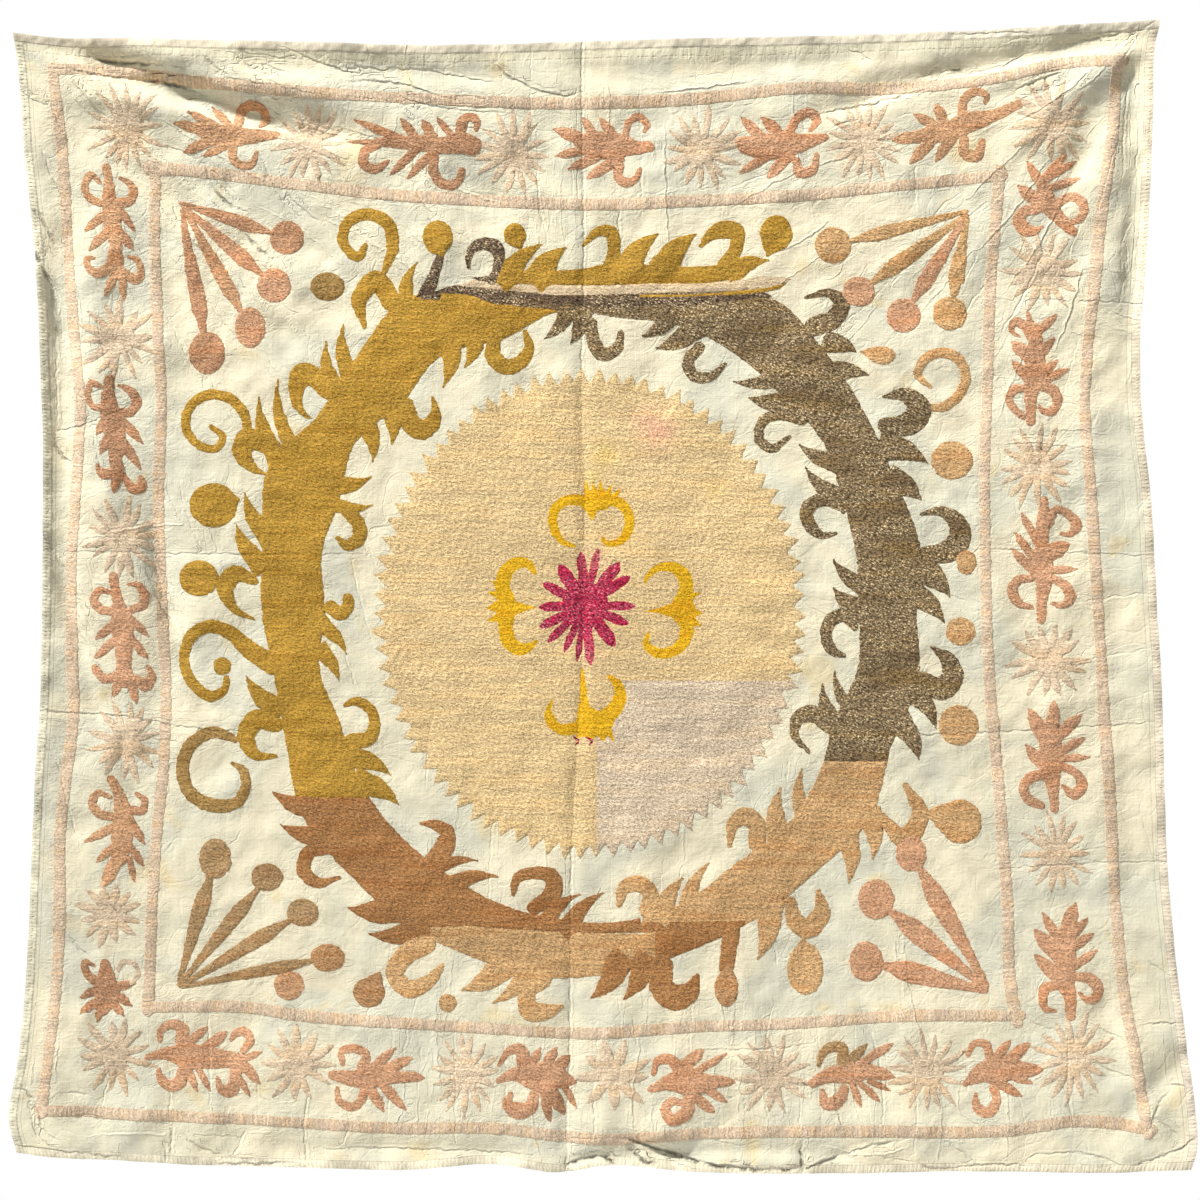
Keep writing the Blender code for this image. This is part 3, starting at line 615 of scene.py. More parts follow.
# %% Bodies and curls of the palmettes
PALMETTE_CURLS = {
    "salmon": (
        # above the disc and right of it
        ((650,146,10), (638,147,13), (624,145,22), (607,145,27), (593,144,26), (583,141,18)),
        ((625,133,7), (630,120,7), (638,116,7), (647,125,7), (644,131,3)),
        ((619,165,10), (618,175,10), (625,182,10), (635,179,7), (640,169,5)),
        ((825,137,7), (803,142,17), (780,145,26), (760,146,25), (746,145,18)),
        ((789,133,9), (796,119,9), (810,112,9), (817,119,9), (810,130,4)),
        ((796,161,9), (799,172,10), (812,170,9), (817,154,4)),
        # down the right side
        ((1073,231,9), (1064,222,12), (1050,206,17), (1045,196,18), (1043,184,12)),
        ((1036,210,8), (1024,211,11), (1019,220,13), (1028,230,13), (1036,230,8), (1043,226,2)),
        ((1059,202,9), (1072,196,9), (1082,202,10), (1084,211,9), (1077,220,7), (1069,221,4)),
        ((1031,421,9), (1032,390,15), (1035,377,22), (1035,358,20), (1036,340,14), (1036,327,8)),
        ((1030,338,6), (1025,326,9), (1016,321,9), (1011,327,6), (1014,333,4), (1020,336,2)),
        ((1027,388,7), (1015,389,9), (1009,397,8), (1014,408,8), (1023,416,7)),
        ((1043,386,9), (1054,390,11), (1058,401,10), (1052,411,9), (1043,410,6), (1040,406,4)),
        ((1041,619,9), (1042,597,12), (1044,575,18), (1043,560,20), (1042,545,14), (1043,519,13),
         (1045,499,7)),
        ((1049,523,9), (1056,509,8), (1069,514,9), (1077,526,11), (1069,534,6), (1061,533,3)),
        ((1032,578,7), (1018,580,9), (1012,591,11), (1019,603,9), (1031,607,5)),
        ((1052,578,8), (1065,586,10), (1070,597,11), (1063,605,7), (1052,603,4)),
        ((1055,809,8), (1053,790,12), (1051,771,20), (1051,751,24), (1049,734,20), (1052,718,12)),
        ((1046,774,9), (1030,777,10), (1023,786,9), (1028,799,10), (1041,805,8)),
        ((1063,766,8), (1076,773,9), (1082,784,11), (1074,794,11), (1063,786,4)),
        ((1070,1016,9), (1069,996,13), (1064,976,20), (1065,958,20), (1064,941,24), (1067,930,18)),
        ((1057,985,9), (1045,987,10), (1042,999,9), (1045,1008,7), (1055,1010,3)),
        ((1075,976,8), (1089,978,11), (1098,989,12), (1093,999,9), (1084,998,6), (1079,992,3)),
        # along the bottom
        ((147,1057,6), (168,1054,14), (186,1057,25), (204,1058,23), (225,1060,18), (240,1061,12)),
        ((236,1066,16), (234,1079,10), (230,1091,15), (221,1090,10), (217,1078,3)),
        ((180,1042,12), (182,1029,12), (171,1024,9), (161,1030,7), (159,1040,5)),
        ((182,1070,10), (180,1081,13), (170,1086,12), (161,1080,9), (158,1070,4)),
        ((243,1051,8), (250,1040,9), (243,1032,9), (234,1035,7), (230,1041,3)),
        ((333,1075,10), (355,1078,17), (373,1076,22), (391,1076,14), (408,1077,10)),
        ((362,1067,11), (366,1054,9), (354,1048,9), (341,1052,7), (343,1063,5)),
        ((364,1088,9), (362,1099,9), (352,1107,9), (339,1101,7), (337,1088,4)),
        ((498,1080,5), (515,1073,14), (533,1075,26), (549,1075,28), (560,1077,20)),
        ((523,1063,12), (521,1048,12), (509,1050,8), (499,1064,3)),
        ((535,1091,9), (529,1107,14), (515,1109,17), (507,1101,10), (511,1093,5)),
        ((650,1088,6), (667,1081,15), (685,1079,28), (703,1081,20), (717,1079,12)),
        ((679,1067,12), (669,1057,11), (657,1060,8), (653,1072,5)),
        ((689,1095,12), (685,1111,14), (669,1117,11), (665,1107,10), (673,1099,8), (681,1101,6)),
        ((811,1082,8), (830,1074,16), (848,1072,20), (869,1070,15)),
        ((844,1088,10), (837,1100,14), (825,1102,12), (822,1090,5)),
        ((964,1083,5), (982,1072,20), (1000,1068,26), (1016,1068,20), (1030,1070,12)),
        ((989,1056,9), (985,1043,8), (975,1042,7), (967,1054,5)),
        ((992,1086,8), (996,1099,9), (987,1111,11), (976,1106,10), (975,1093,4)),
        # the clearest one on the left
        ((113,576,9), (115,590,10), (118,605,13), (121,617,22), (122,633,22), (123,647,18),
         (123,665,15), (124,678,19)),
        ((111,611,8), (100,609,9), (93,598,9), (99,590,7), (110,592,4)),
        ((131,609,8), (142,605,9), (143,593,9), (136,584,6), (128,584,3)),
        ((114,676,9), (104,679,9), (97,672,8), (94,668,8)),
        ((135,679,9), (145,685,13), (150,677,9), (147,667,5)),
    ),
    "sand": (
        ((276,135,8), (263,136,12), (245,137,17), (230,137,22), (214,134,18), (202,132,12)),
        ((238,123,10), (240,110,10), (249,105,9), (263,110,8), (265,119,9), (260,125,5)),
        ((233,148,9), (234,159,9), (242,166,8), (252,165,8), (257,153,4)),
        ((1018,104,9), (994,115,12), (969,122,20), (948,131,20), (930,134,16), (914,137,11)),
        ((962,115,10), (964,99,9), (978,91,8), (987,96,6), (985,102,4)),
        ((964,138,9), (964,152,11), (976,156,11), (983,140,5)),
        ((107,168,8), (109,181,9), (110,196,13), (112,211,17), (114,230,17), (117,247,12),
         (116,265,17), (118,273,15)),
        ((103,204,7), (90,198,8), (85,187,8), (92,175,7), (101,183,4)),
        ((119,203,9), (130,201,10), (134,191,9), (128,182,6), (120,178,3)),
        ((110,268,10), (98,274,9), (88,265,7), (88,259,6), (96,259,2)),
        ((128,275,9), (137,280,10), (142,271,7), (137,260,6), (129,257,3)),
        ((111,779,9), (118,794,11), (122,810,17), (123,829,22), (121,846,20), (119,858,16)),
        ((114,817,8), (99,813,9), (92,803,9), (97,793,7), (110,797,4)),
    ),
    "brick": (
        ((472,146,20), (462,143,22), (446,146,17), (426,144,16), (407,143,13), (388,142,10),
         (376,142,7)),
        ((460,131,10), (463,122,11), (470,117,9), (477,122,8), (476,130,4)),
        ((434,157,10), (434,173,10), (441,183,10), (452,185,10), (460,178,8), (462,170,6)),
        ((376,146,9), (365,152,10), (365,165,10), (373,170,9), (382,166,7), (388,161,3)),
        ((111,379,9), (109,392,12), (110,406,17), (113,419,24), (115,432,21), (117,446,19),
         (116,459,13), (118,470,14)),
        ((106,407,7), (95,407,6), (88,395,6), (93,383,7), (102,387,4)),
        ((119,411,5), (130,412,10), (137,403,10), (130,390,8), (119,386,3)),
        ((113,471,8), (107,474,11), (100,470,8), (98,465,4)),
        ((123,475,7), (134,489,10), (142,486,11), (141,478,6)),
        ((130,810,9), (142,810,8), (144,800,7), (135,794,4)),
        ((105,963,9), (106,980,20), (106,997,25), (102,1008,16)),
        ((97,982,10), (87,973,8), (85,961,6), (94,965,3)),
    ),
    "moss": (
        ((842,1059,12), (842,1047,11), (830,1046,10), (821,1054,8), (818,1064,4)),
    ),
    "peach": (((131,983,4), (138,974,4), (132,963,5), (122,962,5), (118,970,4)),),
}
print(sum(map(len, PALMETTE_CURLS.values())), "bodies and curls in the border")

# %% Drops, corner sprays, rosettes and border lines
# dye, x, y, radius across, radius down, tip x, tip y (0, 0 where it has no tip)
DROPS = (
    ("gold",214,505,24,22,240,499), ("gold",199,578,20,18,0,0), ("gold",438,238,15,17,443,258),
    ("gold",515,235,11,12,521,250), ("gold",776,233,16,18,767,256), ("bronze",328,287,17,14,0,0),
    ("gold",222,666,9,9,0,0), ("clay",369,992,16,15,381,971), ("sand",289,985,15,15,0,0),
    ("tan",448,1002,9,9,0,0), ("clay",726,987,12,18,728,962), ("tan",805,968,18,26,803,936),
    ("tan",966,562,10,12,0,0), ("tan",960,631,15,14,0,0), ("tan",958,725,20,20,0,0),
    ("tan",952,460,21,19,0,0), ("tan",882,355,13,9,860,351), ("tan",960,821,21,22,925,811),
)
# stem dye, drop dye, stem start x, y, drop x, y, radius across, down, stem width
SPRAYS = (
    ("brick","brick",181,203,287,238,17,17,13), ("salmon","salmon",183,206,275,286,17,17,15),
    ("sand","salmon",184,208,251,328,15,20,14), ("brick","brick",182,210,208,353,18,21,15),
    ("tan","tan",966,211,833,245,18,18,13), ("tan","salmon",966,215,859,291,16,15,15),
    ("salmon","salmon",966,216,904,315,17,17,15), ("tan","tan",967,218,950,313,17,17,15),
    ("moss","moss",178,984,215,858,16,20,15), ("moss","moss",179,985,267,877,16,14,14),
    ("moss","moss",180,986,303,912,16,14,14), ("moss","clay",182,987,328,957,17,14,12),
    ("salmon","salmon",986,984,911,853,15,18,19), ("salmon","salmon",985,987,876,899,18,20,20),
    ("salmon","salmon",985,990,866,961,17,20,20),
)
# x, y, reach across, reach down, petals, core
ROSETTES = (
    (127,128,38,42,16,0.5), (309,143,36,40,15,0.45), (513,153,38,42,15,0.45),
    (701,150,38,40,15,0.45), (864,140,38,40,16,0.42), (1052,122,40,40,15,0.45),
    (1043,270,38,40,14,0.58), (1036,466,40,40,15,0.5), (1048,660,40,40,14,0.42),
    (1056,853,36,40,14,0.45), (1072,1056,40,44,15,0.42), (114,1055,38,38,13,0.45),
    (297,1065,38,38,12,0.5), (466,1073,34,38,15,0.45), (612,1074,36,36,9,0.5),
    (773,1074,38,38,13,0.48), (927,1070,38,40,15,0.5), (119,339,38,38,14,0.55),
    (123,538,36,38,14,0.5), (125,741,36,40,14,0.5), (110,914,34,32,12,0.58),
)
LINE_WIDTH = 11.2
# level (True) or upright, then the places that the middle of the line runs through
BORDER_LINES = (
    (True, ((53,70), (100,70), (200,82), (300,93), (400,98), (560,103), (700,98), (800,88),
            (900,87), (1000,77), (1060,63), (1124,60))),
    (False, ((1118,58), (1113,130), (1103,200), (1095,280), (1088,350), (1085,400), (1092,500),
             (1095,560), (1100,640), (1105,730), (1110,800), (1115,900), (1125,1000), (1135,1060),
             (1147,1133))),
    (True, ((38,1110), (140,1115), (240,1120), (400,1128), (500,1128), (560,1135), (600,1138),
            (700,1132), (900,1130), (1000,1130), (1080,1120), (1150,1128))),
    (False, ((53,68), (62,150), (68,250), (75,350), (80,400), (76,480), (70,560), (70,650),
             (72,720), (65,780), (60,830), (60,900), (55,1000), (45,1080), (41,1113))),
    (True, ((148,168), (200,172), (300,185), (400,196), (480,200), (600,204), (700,200), (800,195),
            (900,185), (1003,175))),
    (False, ((1000,170), (993,250), (990,300), (988,380), (985,450), (985,560), (987,640),
             (992,720), (998,780), (1003,850), (1007,900), (1012,1000), (1017,1022))),
    (True, ((146,1007), (250,1008), (300,1015), (400,1022), (500,1028), (580,1032), (700,1025),
            (800,1022), (900,1015), (1020,1015))),
    (False, ((155,165), (155,250), (160,350), (162,400), (158,500), (160,600), (165,700),
             (163,760), (155,850), (150,950), (148,1010))),
)
print(len(DROPS), "drops,", len(SPRAYS), "spray stems,", len(ROSETTES), "rosettes")

# %% [markdown]
# ## The whole drawing as a list of stitched shapes
# Each shape is a closed outline with its dye. A later shape lies over an
# earlier one, so the order of this list is the order in which they cover each
# other. Threads are laid level nearly everywhere. Only in the level border
# lines do they run up and down, across the line.

# %% Disc, its centre and the bands above the ring
DISC_X, DISC_Y = 590.0, 613.0
DISC_ACROSS, DISC_DOWN = 204.0, 231.0
DISC_TEETH = 82
TOOTH = 13.5
CENTRE_X, CENTRE_Y = 585.0, 605.0
# dye, closed outline
BANDS = (
    ("gold", ((497,278), (512,273), (527,271), (552,271), (585,268), (610,262), (641,264),
              (678,266), (703,266), (728,264), (752,263), (741,278), (703,283), (659,283),
              (610,285), (541,285), (512,283))),
    ("umber", ((416,297), (420,292), (436,292), (446,288), (456,285), (480,284), (508,285),
               (556,290), (610,292), (700,292), (762,290), (772,296), (700,304), (610,306),
               (556,310), (512,306), (453,302), (424,299))),
    ("umber", ((472,278), (486,276), (500,277), (508,285), (486,284))),
    ("cream", ((457,286), (466,282), (474,280), (500,284), (527,285), (610,285), (659,283),
               (703,283), (742,279), (761,276), (778,276), (791,278), (781,286), (764,289),
               (747,290), (688,292), (610,294), (556,295), (512,291), (480,288))),
    ("gold", ((722,292), (747,290), (764,288), (786,283), (780,288), (762,292), (747,294),
              (690,296), (640,297), (640,294), (688,294))),
)
# Petals round the centre: tip x, y, width
CENTRE_PETALS = (
    (581,552,9), (598,549,8), (620,562,11), (630,576,9), (635,606,8), (628,624,9), (615,646,12),
    (591,665,9), (577,661,6), (564,652,7), (548,642,8), (540,627,9), (539,607,9), (543,583,9),
    (559,565,12),
)
# Hooks of the four yellow flowers: x, y and width along each, from its body out
FLOWER_HOOKS = (
    ((590,503,9), (578,500,9), (563,502,8), (553,515,8), (555,530,7), (563,542,5), (574,546,3)),
    ((594,503,9), (608,500,9), (621,504,9), (629,517,8), (628,531,8), (620,541,6), (605,542,4),
     (602,538,2)),
    ((680,606,15), (686,590,12), (684,576,11), (672,567,9), (658,568,6), (648,576,4), (645,582,2)),
    ((680,612,15), (687,626,12), (683,642,10), (670,652,9), (655,652,8), (646,643,6), (648,634,3)),
    ((508,602,14), (503,588,12), (506,573,12), (517,563,10), (529,564,7), (535,573,3)),
    ((508,612,14), (506,627,12), (509,641,12), (521,649,10), (532,645,6), (537,640,2)),
    ((588,722,14), (573,728,10), (561,729,9), (551,720,8), (549,709,5), (552,700,2)),
    ((594,722,16), (606,716,13), (617,705,12), (620,692,10), (616,682,7), (609,676,3)),
)
FLOWER_BODIES = (
    ((576,503), (579,494), (583,497), (586,480), (590,491), (593,482), (597,491), (601,480),
     (605,492), (612,483), (611,495), (621,487), (617,500), (607,509), (598,511), (592,521),
     (588,514), (582,507)),
    ((682,594), (690,585), (690,593), (701,592), (692,600), (696,608), (703,613), (695,617),
     (702,626), (692,626), (690,636), (682,628), (674,618), (660,613), (643,611), (662,607),
     (674,602)),
    ((507,594), (500,583), (491,580), (499,590), (488,592), (498,600), (486,608), (498,612),
     (486,621), (499,622), (505,630), (512,617), (524,611), (537,607), (524,604), (513,600)),
    ((581,668), (584,668), (587,690), (590,706), (600,711), (613,706), (616,716), (612,728),
     (614,742), (608,735), (603,741), (597,735), (592,740), (586,736), (577,738), (575,726),
     (577,712), (580,695)),
)

shapes = []


def add_shape(dye, outline, upright=False, within=None):
    """Add one stitched shape to the drawing."""
    outline = by_hand(outline)
    shapes.append({"dye": dye, "loop": outline, "upright": upright, "within": within})


def disc_loop():
    """Oval with a row of small teeth round it."""
    points = []
    for tooth in range(DISC_TEETH):
        turn = 2 * math.pi * (tooth + hand.uniform(-0.12, 0.12)) / DISC_TEETH
        half = 2 * math.pi / DISC_TEETH / 2
        lean = hand.uniform(0.1, 0.5)
        reach = TOOTH * hand.uniform(0.8, 1.15)
        for shift, out in ((-half, 0.0), (half * lean * 0.4, reach), (half * 0.86, 1.0)):
            x = DISC_X + (DISC_ACROSS + out) * math.cos(turn + shift)
            y = DISC_Y + (DISC_DOWN + out * 1.05) * math.sin(turn + shift)
            points.append((x, y))
    return np.array(points)


def rosette(x, y, across, down, petals, core, dye):
    """Oval core with uneven finger-shaped petals all round."""
    first = hand.uniform(0, 2 * math.pi)
    for petal in range(petals):
        turn = first + 2 * math.pi * (petal + hand.uniform(-0.2, 0.2)) / petals
        way = np.array((across * math.cos(turn), down * math.sin(turn)))
        tip = np.array((x, y)) + hand.uniform(0.88, 1.16) * way
        base = np.array((x, y)) + 0.30 * way
        thick = 2.4 * across / petals * hand.uniform(0.8, 1.2)
        add_shape(dye, leaf(*tip, *base, thick, hand.uniform(-0.05, 0.05), 4.6))
    add_shape(dye, oval(x, y, across * core, down * core * 0.85))


add_shape("straw", disc_loop())
add_shape("pale", ((623, 680), (840, 681), (840, 900), (597, 900), (597, 708), (622, 707)),
          within=0)
for tip_x, tip_y, width in CENTRE_PETALS:
    root_x, root_y = CENTRE_X * 0.6 + tip_x * 0.4, CENTRE_Y * 0.6 + tip_y * 0.4
    add_shape("magenta", leaf(tip_x, tip_y, root_x, root_y, 0.98 * width, blunt=8.0))
add_shape("magenta", oval(CENTRE_X, CENTRE_Y, 23, 24))
for hook in FLOWER_HOOKS:
    add_shape("yellow", curl([(x, y, 1.22 * width) for x, y, width in hook]))
for body in FLOWER_BODIES:
    add_shape("yellow", body)
for mark_x in (577, 590):
    add_shape("crimson", curl(((mark_x - 3, 737, 2.2), (mark_x + 2, 741, 2.2),
                               (mark_x - 1, 744, 2.0))))
print(len(shapes), "shapes in the disc")

# %% Ring, leaves and curls
ring_outside = ring_loop(2, False)
ring_inside = ring_loop(1, True)
for dye, zone in RING_ZONES:
    add_shape(dye, zone, within="ring")
for dye, band in BANDS:
    add_shape(dye, band)


def ring_bend(tip_x, tip_y, base_x, base_y):
    """Leaves outside the ring bulge outward, and those inside it inward."""
    base = np.array((base_x, base_y)) - RING_MIDDLE
    tip = np.array((tip_x, tip_y)) - RING_MIDDLE
    run = tip - base
    side = np.array((-run[1], run[0]))
    outward = 1.0 if np.hypot(*tip) > np.hypot(*base) else -1.0
    return 0.09 * outward * (1.0 if side @ base > 0 else -1.0)


for dye, leaves in RING_LEAVES.items():
    for row in leaves:
        thorn = leaf(*row, bend=ring_bend(*row[:4]), blunt=1.9, flare=0.35)
        add_shape(dye, thorn)
for dye, curls in RING_CURLS.items():
    for one in curls:
        add_shape(dye, curl(one))
for dye, x, y, across, down, tip_x, tip_y in DROPS:
    add_shape(dye, oval(x, y, across, down))
    if tip_x:
        add_shape(dye, leaf(tip_x, tip_y, x, y, 1.7 * min(across, down), blunt=1.6))
print(len(shapes), "shapes with the ring")

# %% Sprays, palmettes, rosettes and border lines
# Share of the way along a stem, and its width there as a part of the full width
STEM_SHAPE = ((0, 0.3), (0.25, 0.55), (0.55, 0.95), (0.78, 1), (0.92, 0.5), (1, 0.3))
LEAF_WIDTH = 0.82
ROSETTE_CORE = 0.85

for dye, drop_dye, x0, y0, x1, y1, across, down, width in SPRAYS:
    run = np.array((x1 - x0, y1 - y0))
    run = run * (1 - 0.9 * min(across, down) / np.hypot(*run))
    stem = [(x0 + share * run[0], y0 + share * run[1], part * width)
            for share, part in STEM_SHAPE]
    add_shape(dye, curl(stem))
    add_shape(drop_dye, oval(x1, y1, across, down))
for level, line in BORDER_LINES:
    rows = [(x, y, LINE_WIDTH * hand.uniform(0.92, 1.08)) for x, y in line]
    add_shape("border", curl(rows), upright=level)
for x, y, across, down, petals, core in ROSETTES:
    rosette(x, y, across, down, petals, ROSETTE_CORE * core, "peach")
for table in (PALMETTE_LEAVES, PALMETTE_CURLS):
    for dye, rows in table.items():
        for row in rows:
            finger = len(np.shape(row)) == 1
            add_shape(dye, leaf(*row[:4], LEAF_WIDTH * row[4]) if finger else curl(row))
print(len(shapes), "shapes in all")

# %% [markdown]
# ## One net of triangles for all the stitching
# The outlines and an even net of points are joined into triangles at once, so
# shapes that meet share their edges exactly and leave no gaps. Drawing each
# shape by itself and pushing it into its neighbour is easier, but the surfaces
# would flicker where they cross.

# %% Triangles between the outlines, and the shape each one belongs to
NET_STEP = 3.3
NET_MARGIN = 20
DRAWING_SIZE = 1200


def winding(loop, points):
    """How many times a closed outline goes round each point."""
    total = np.zeros(len(points), dtype=int)
    low, high = loop.min(axis=0), loop.max(axis=0)
    close = np.flatnonzero(((points > low) & (points < high)).all(axis=1))
    after = np.roll(loop, -1, axis=0)
    for block in np.array_split(close, len(close) // 3000 + 1):
        x, y = points[block, :1], points[block, 1:]
        cross = (after[:, 0] - loop[:, 0]) * (y - loop[:, 1])
        cross = cross - (x - loop[:, 0]) * (after[:, 1] - loop[:, 1])
        rising = (loop[:, 1] <= y) & (after[:, 1] > y) & (cross > 0)
        falling = (loop[:, 1] > y) & (after[:, 1] <= y) & (cross < 0)
        total[block] = rising.sum(axis=1) - falling.sum(axis=1)
    return total


def inside_shape(shape, points):
    """Numbers of the points that a shape covers."""
    covered = np.flatnonzero(winding(shape["loop"], points))
    if shape["within"] == "ring":
        covered = covered[winding(ring_outside, points[covered]) != 0]
        covered = covered[winding(ring_inside, points[covered]) == 0]
    elif shape["within"] is not None:
        outer = shapes[shape["within"]]["loop"]
        covered = covered[winding(outer, points[covered]) != 0]
    return covered


def shape_at(points):
    """Number of the last shape that covers each point, or -1."""
    found = np.full(len(points), -1)
    for number, shape in enumerate(shapes):
        found[inside_shape(shape, points)] = number
    return found


def net_points(loops):
    """Even rows of points inside the drawing, clear of every outline."""
    far = DRAWING_SIZE - NET_MARGIN
    rows = np.arange(NET_MARGIN, far, NET_STEP * 0.866)
    columns = np.arange(NET_MARGIN, far, NET_STEP)
    x, y = np.meshgrid(columns, rows)
    x = x + (np.arange(len(rows)) % 2)[:, None] * NET_STEP / 2
    points = np.column_stack((x.ravel(), y.ravel()))
    taken = np.zeros((DRAWING_SIZE, DRAWING_SIZE), dtype=bool)
    for loop in loops:
        after = np.roll(loop, -1, axis=0)
        for share in np.linspace(0, 1, 5)[:-1]:
            place = np.round(loop + share * (after - loop)).astype(int)
            place = place.clip(2, DRAWING_SIZE - 3)
            for shift_x in (-1, 0, 1):
                for shift_y in (-1, 0, 1):
                    taken[place[:, 1] + shift_y, place[:, 0] + shift_x] = True
    place = np.round(points).astype(int)
    points = points[~taken[place[:, 1], place[:, 0]]]
    return points[shape_at(points) >= 0]


loops = [by_hand(ring_outside), by_hand(ring_inside)] + [s["loop"] for s in shapes]
ring_outside, ring_inside = loops[:2]
corners = np.concatenate([*loops, net_points(loops)])
sides, first = [], 0
for loop in loops:
    sides += [(first + i, first + (i + 1) % len(loop)) for i in range(len(loop))]
    first += len(loop)
net = delaunay_2d_cdt([tuple(p) for p in corners], sides, [], 0, 0.02, False)
net_xy = np.array([tuple(p) for p in net[0]])
net_faces = np.array(net[2])
face_shape = shape_at(net_xy[net_faces].mean(axis=1))
net_faces, face_shape = net_faces[face_shape >= 0], face_shape[face_shape >= 0]
print(len(corners), "points,", len(net_faces), "stitched triangles")

# %% [markdown]
# ## Where the cotton lies at any point
# Stitching pulls cotton into short creases that run away from its edge, so a
# few hundred of them are scattered along the outlines with a fixed seed. With
# the folds, creases and a slow rumple they give the depth of the cloth, and its
# slope gives the direction in which a stitch stands up.

# %% Pulls beside the stitching, and the rumple between the folds
PULL_COUNT = 700
PULL_SEED = 12
# Wrinkles that fan out: x, y of the fan's point, first and last turn in degrees,
# nearest and farthest reach, how many, usual depth (mm)
FANS = (
    (16,30,8,52,70,520,130,1.15), (16,30,52,84,110,640,60,0.6), (1160,22,128,174,70,500,80,0.6),
    (1160,22,94,128,90,420,34,0.5), (330,-1900,78,101,2880,3070,80,0.6),
    (900,-1900,78,100,2880,3070,60,0.5), (-900,1120,-3,3,930,2060,60,0.6),
    (-600,640,-22,22,640,800,40,0.5), (1900,500,160,200,700,900,44,0.4),
    (600,-700,82,98,1340,1850,80,0.3), (600,-1900,83,97,1930,2200,60,0.4),
)
FAN_SEED = 21
RUMPLE_SEED = 5
RUMPLE_COUNT = 24
RUMPLE_SMALLEST, RUMPLE_LARGEST = 0.036, 0.22
RUMPLE_HEIGHT = 0.0075
DISC_STIFF_RADIUS, DISC_STIFFNESS = 0.36, 0.65
SLOPE_STEP = 0.0015
CREASE_REACH = 11.0
SEAM_SHARPNESS = 1.3
SOFT_FOLD = 0.0081
SHARPEST = 0.0034


def pull_rows():
    """Short creases that start at the outline of a shape and run outward."""
    pick = np.random.default_rng(PULL_SEED)
    rows = []
    for _ in range(PULL_COUNT):
        loop = shapes[pick.integers(len(shapes))]["loop"]
        at = pick.integers(len(loop))
        start = loop[at]
        away = start - loop.mean(axis=0)
        turn = math.atan2(away[1], away[0]) + pick.normal() * 0.5
        size = pick.uniform(6, 24)
        end = start + size * np.array((math.cos(turn), math.sin(turn)))
        depth = pick.uniform(0.15, 0.6)
        rows.append((*start, *end, pick.normal() * 1.2, pick.uniform(2.5, 3.3), depth))
    return rows


def fan_rows():
    """Wrinkles that point at the corners from which the cloth hangs, and others."""
    pick = np.random.default_rng(FAN_SEED)
    rows = []
    for x, y, first, last, near_end, far_end, count, depth in FANS:
        for _ in range(count):
            turn = math.radians(pick.uniform(first, last))
            way = np.array((math.cos(turn), math.sin(turn)))
            start = near_end + (far_end - near_end) * pick.uniform(0, 0.85)
            size = min(pick.uniform(24, 120), far_end - start)
            ends = (x, y) + start * way, (x, y) + (start + size) * way
            height = depth * (0.15 + abs(pick.normal())) * pick.choice((-1, 1))
            width = pick.uniform(2.8, 4.4) + abs(height)
            rows.append((*ends[0], *ends[1], pick.normal() * 4, width, height))
    return rows


def rumple_rows():
    """Waves across per metre, waves down per metre, phase, height."""
    pick = np.random.default_rng(RUMPLE_SEED)
    rows = []
    for size in np.geomspace(RUMPLE_SMALLEST, RUMPLE_LARGEST, RUMPLE_COUNT):
        turn = pick.uniform(0, 2 * math.pi)
        height = RUMPLE_HEIGHT * size**1.25
        rows.append((math.cos(turn) / size, math.sin(turn) / size, pick.uniform(0, 6.28),
                     height))
    return rows


SMALL_CREASES = crease_rows([*CREASES, *pull_rows(), *fan_rows()])
WIDE_CREASES = [(*row[:5], row[5] * 1.35, row[6] * 0.95, 0.0) for row in SMALL_CREASES]
RUMPLES = rumple_rows()


def rumple_depth(x, z):
    """Slow uneven waves, some with a sharper crest."""
    wide = x + 0.030 * np.sin(9.1 * z + 0.7) + 0.010 * np.sin(31.0 * z + 2.0)
    tall = z + 0.026 * np.sin(8.3 * x + 1.9) + 0.010 * np.sin(27.0 * x + 0.4)
    depth = np.zeros(np.shape(x))
    for number, (per_x, per_z, phase, height) in enumerate(RUMPLES):
        wave = np.sin(2 * np.pi * (per_x * wide + per_z * tall) + phase)
        depth += height * (1.5 * np.sqrt(wave**2 + 0.02) - 1.0 if number % 2 else wave)
    return depth


def beside_seam(x, z):
    """Distance to the right of the middle seam."""
    down = z / BOTTOM_EDGE[0][2]
    left, right = side_edges(down)
    return x - left - (right - left) * smooth_through(SEAM_LINE, down)[..., 0]


def cloth_y(x, z):
    """Depth of the middle of the cloth, back (+) and forward (-)."""
    disc_x, disc_z = to_metres(CENTRE_X, CENTRE_Y)
    away = np.hypot(x - disc_x, z - disc_z) / DISC_STIFF_RADIUS
    calm = 1 - DISC_STIFFNESS * np.exp(-(away**4))
    depth = line_depth(x, z, FOLDS) + line_depth(x, z, WIDE_CREASES)
    depth += calm * rumple_depth(x, z)
    for per_x, per_z, phase, height in BILLOWS:
        depth += height * np.sin(2 * np.pi * (per_x * x + per_z * z) + phase)
    groove = np.exp(-((beside_seam(x, z) / SEAM_GROOVE_HALF_WIDTH) ** 2))
    return depth + SEAM_GROOVE_DEPTH * groove


def cloth_frame(x, z):
    """Points on the middle of the cloth, and which way its face looks there."""
    y = cloth_y(x, z)
    slope_x = (cloth_y(x + SLOPE_STEP, z) - y) / SLOPE_STEP
    slope_z = (cloth_y(x, z + SLOPE_STEP) - y) / SLOPE_STEP
    normal = np.stack((slope_x, -np.ones_like(y), slope_z), axis=-1)
    normal /= np.linalg.norm(normal, axis=-1)[..., None]
    return np.stack((x, y, z), axis=-1), normal


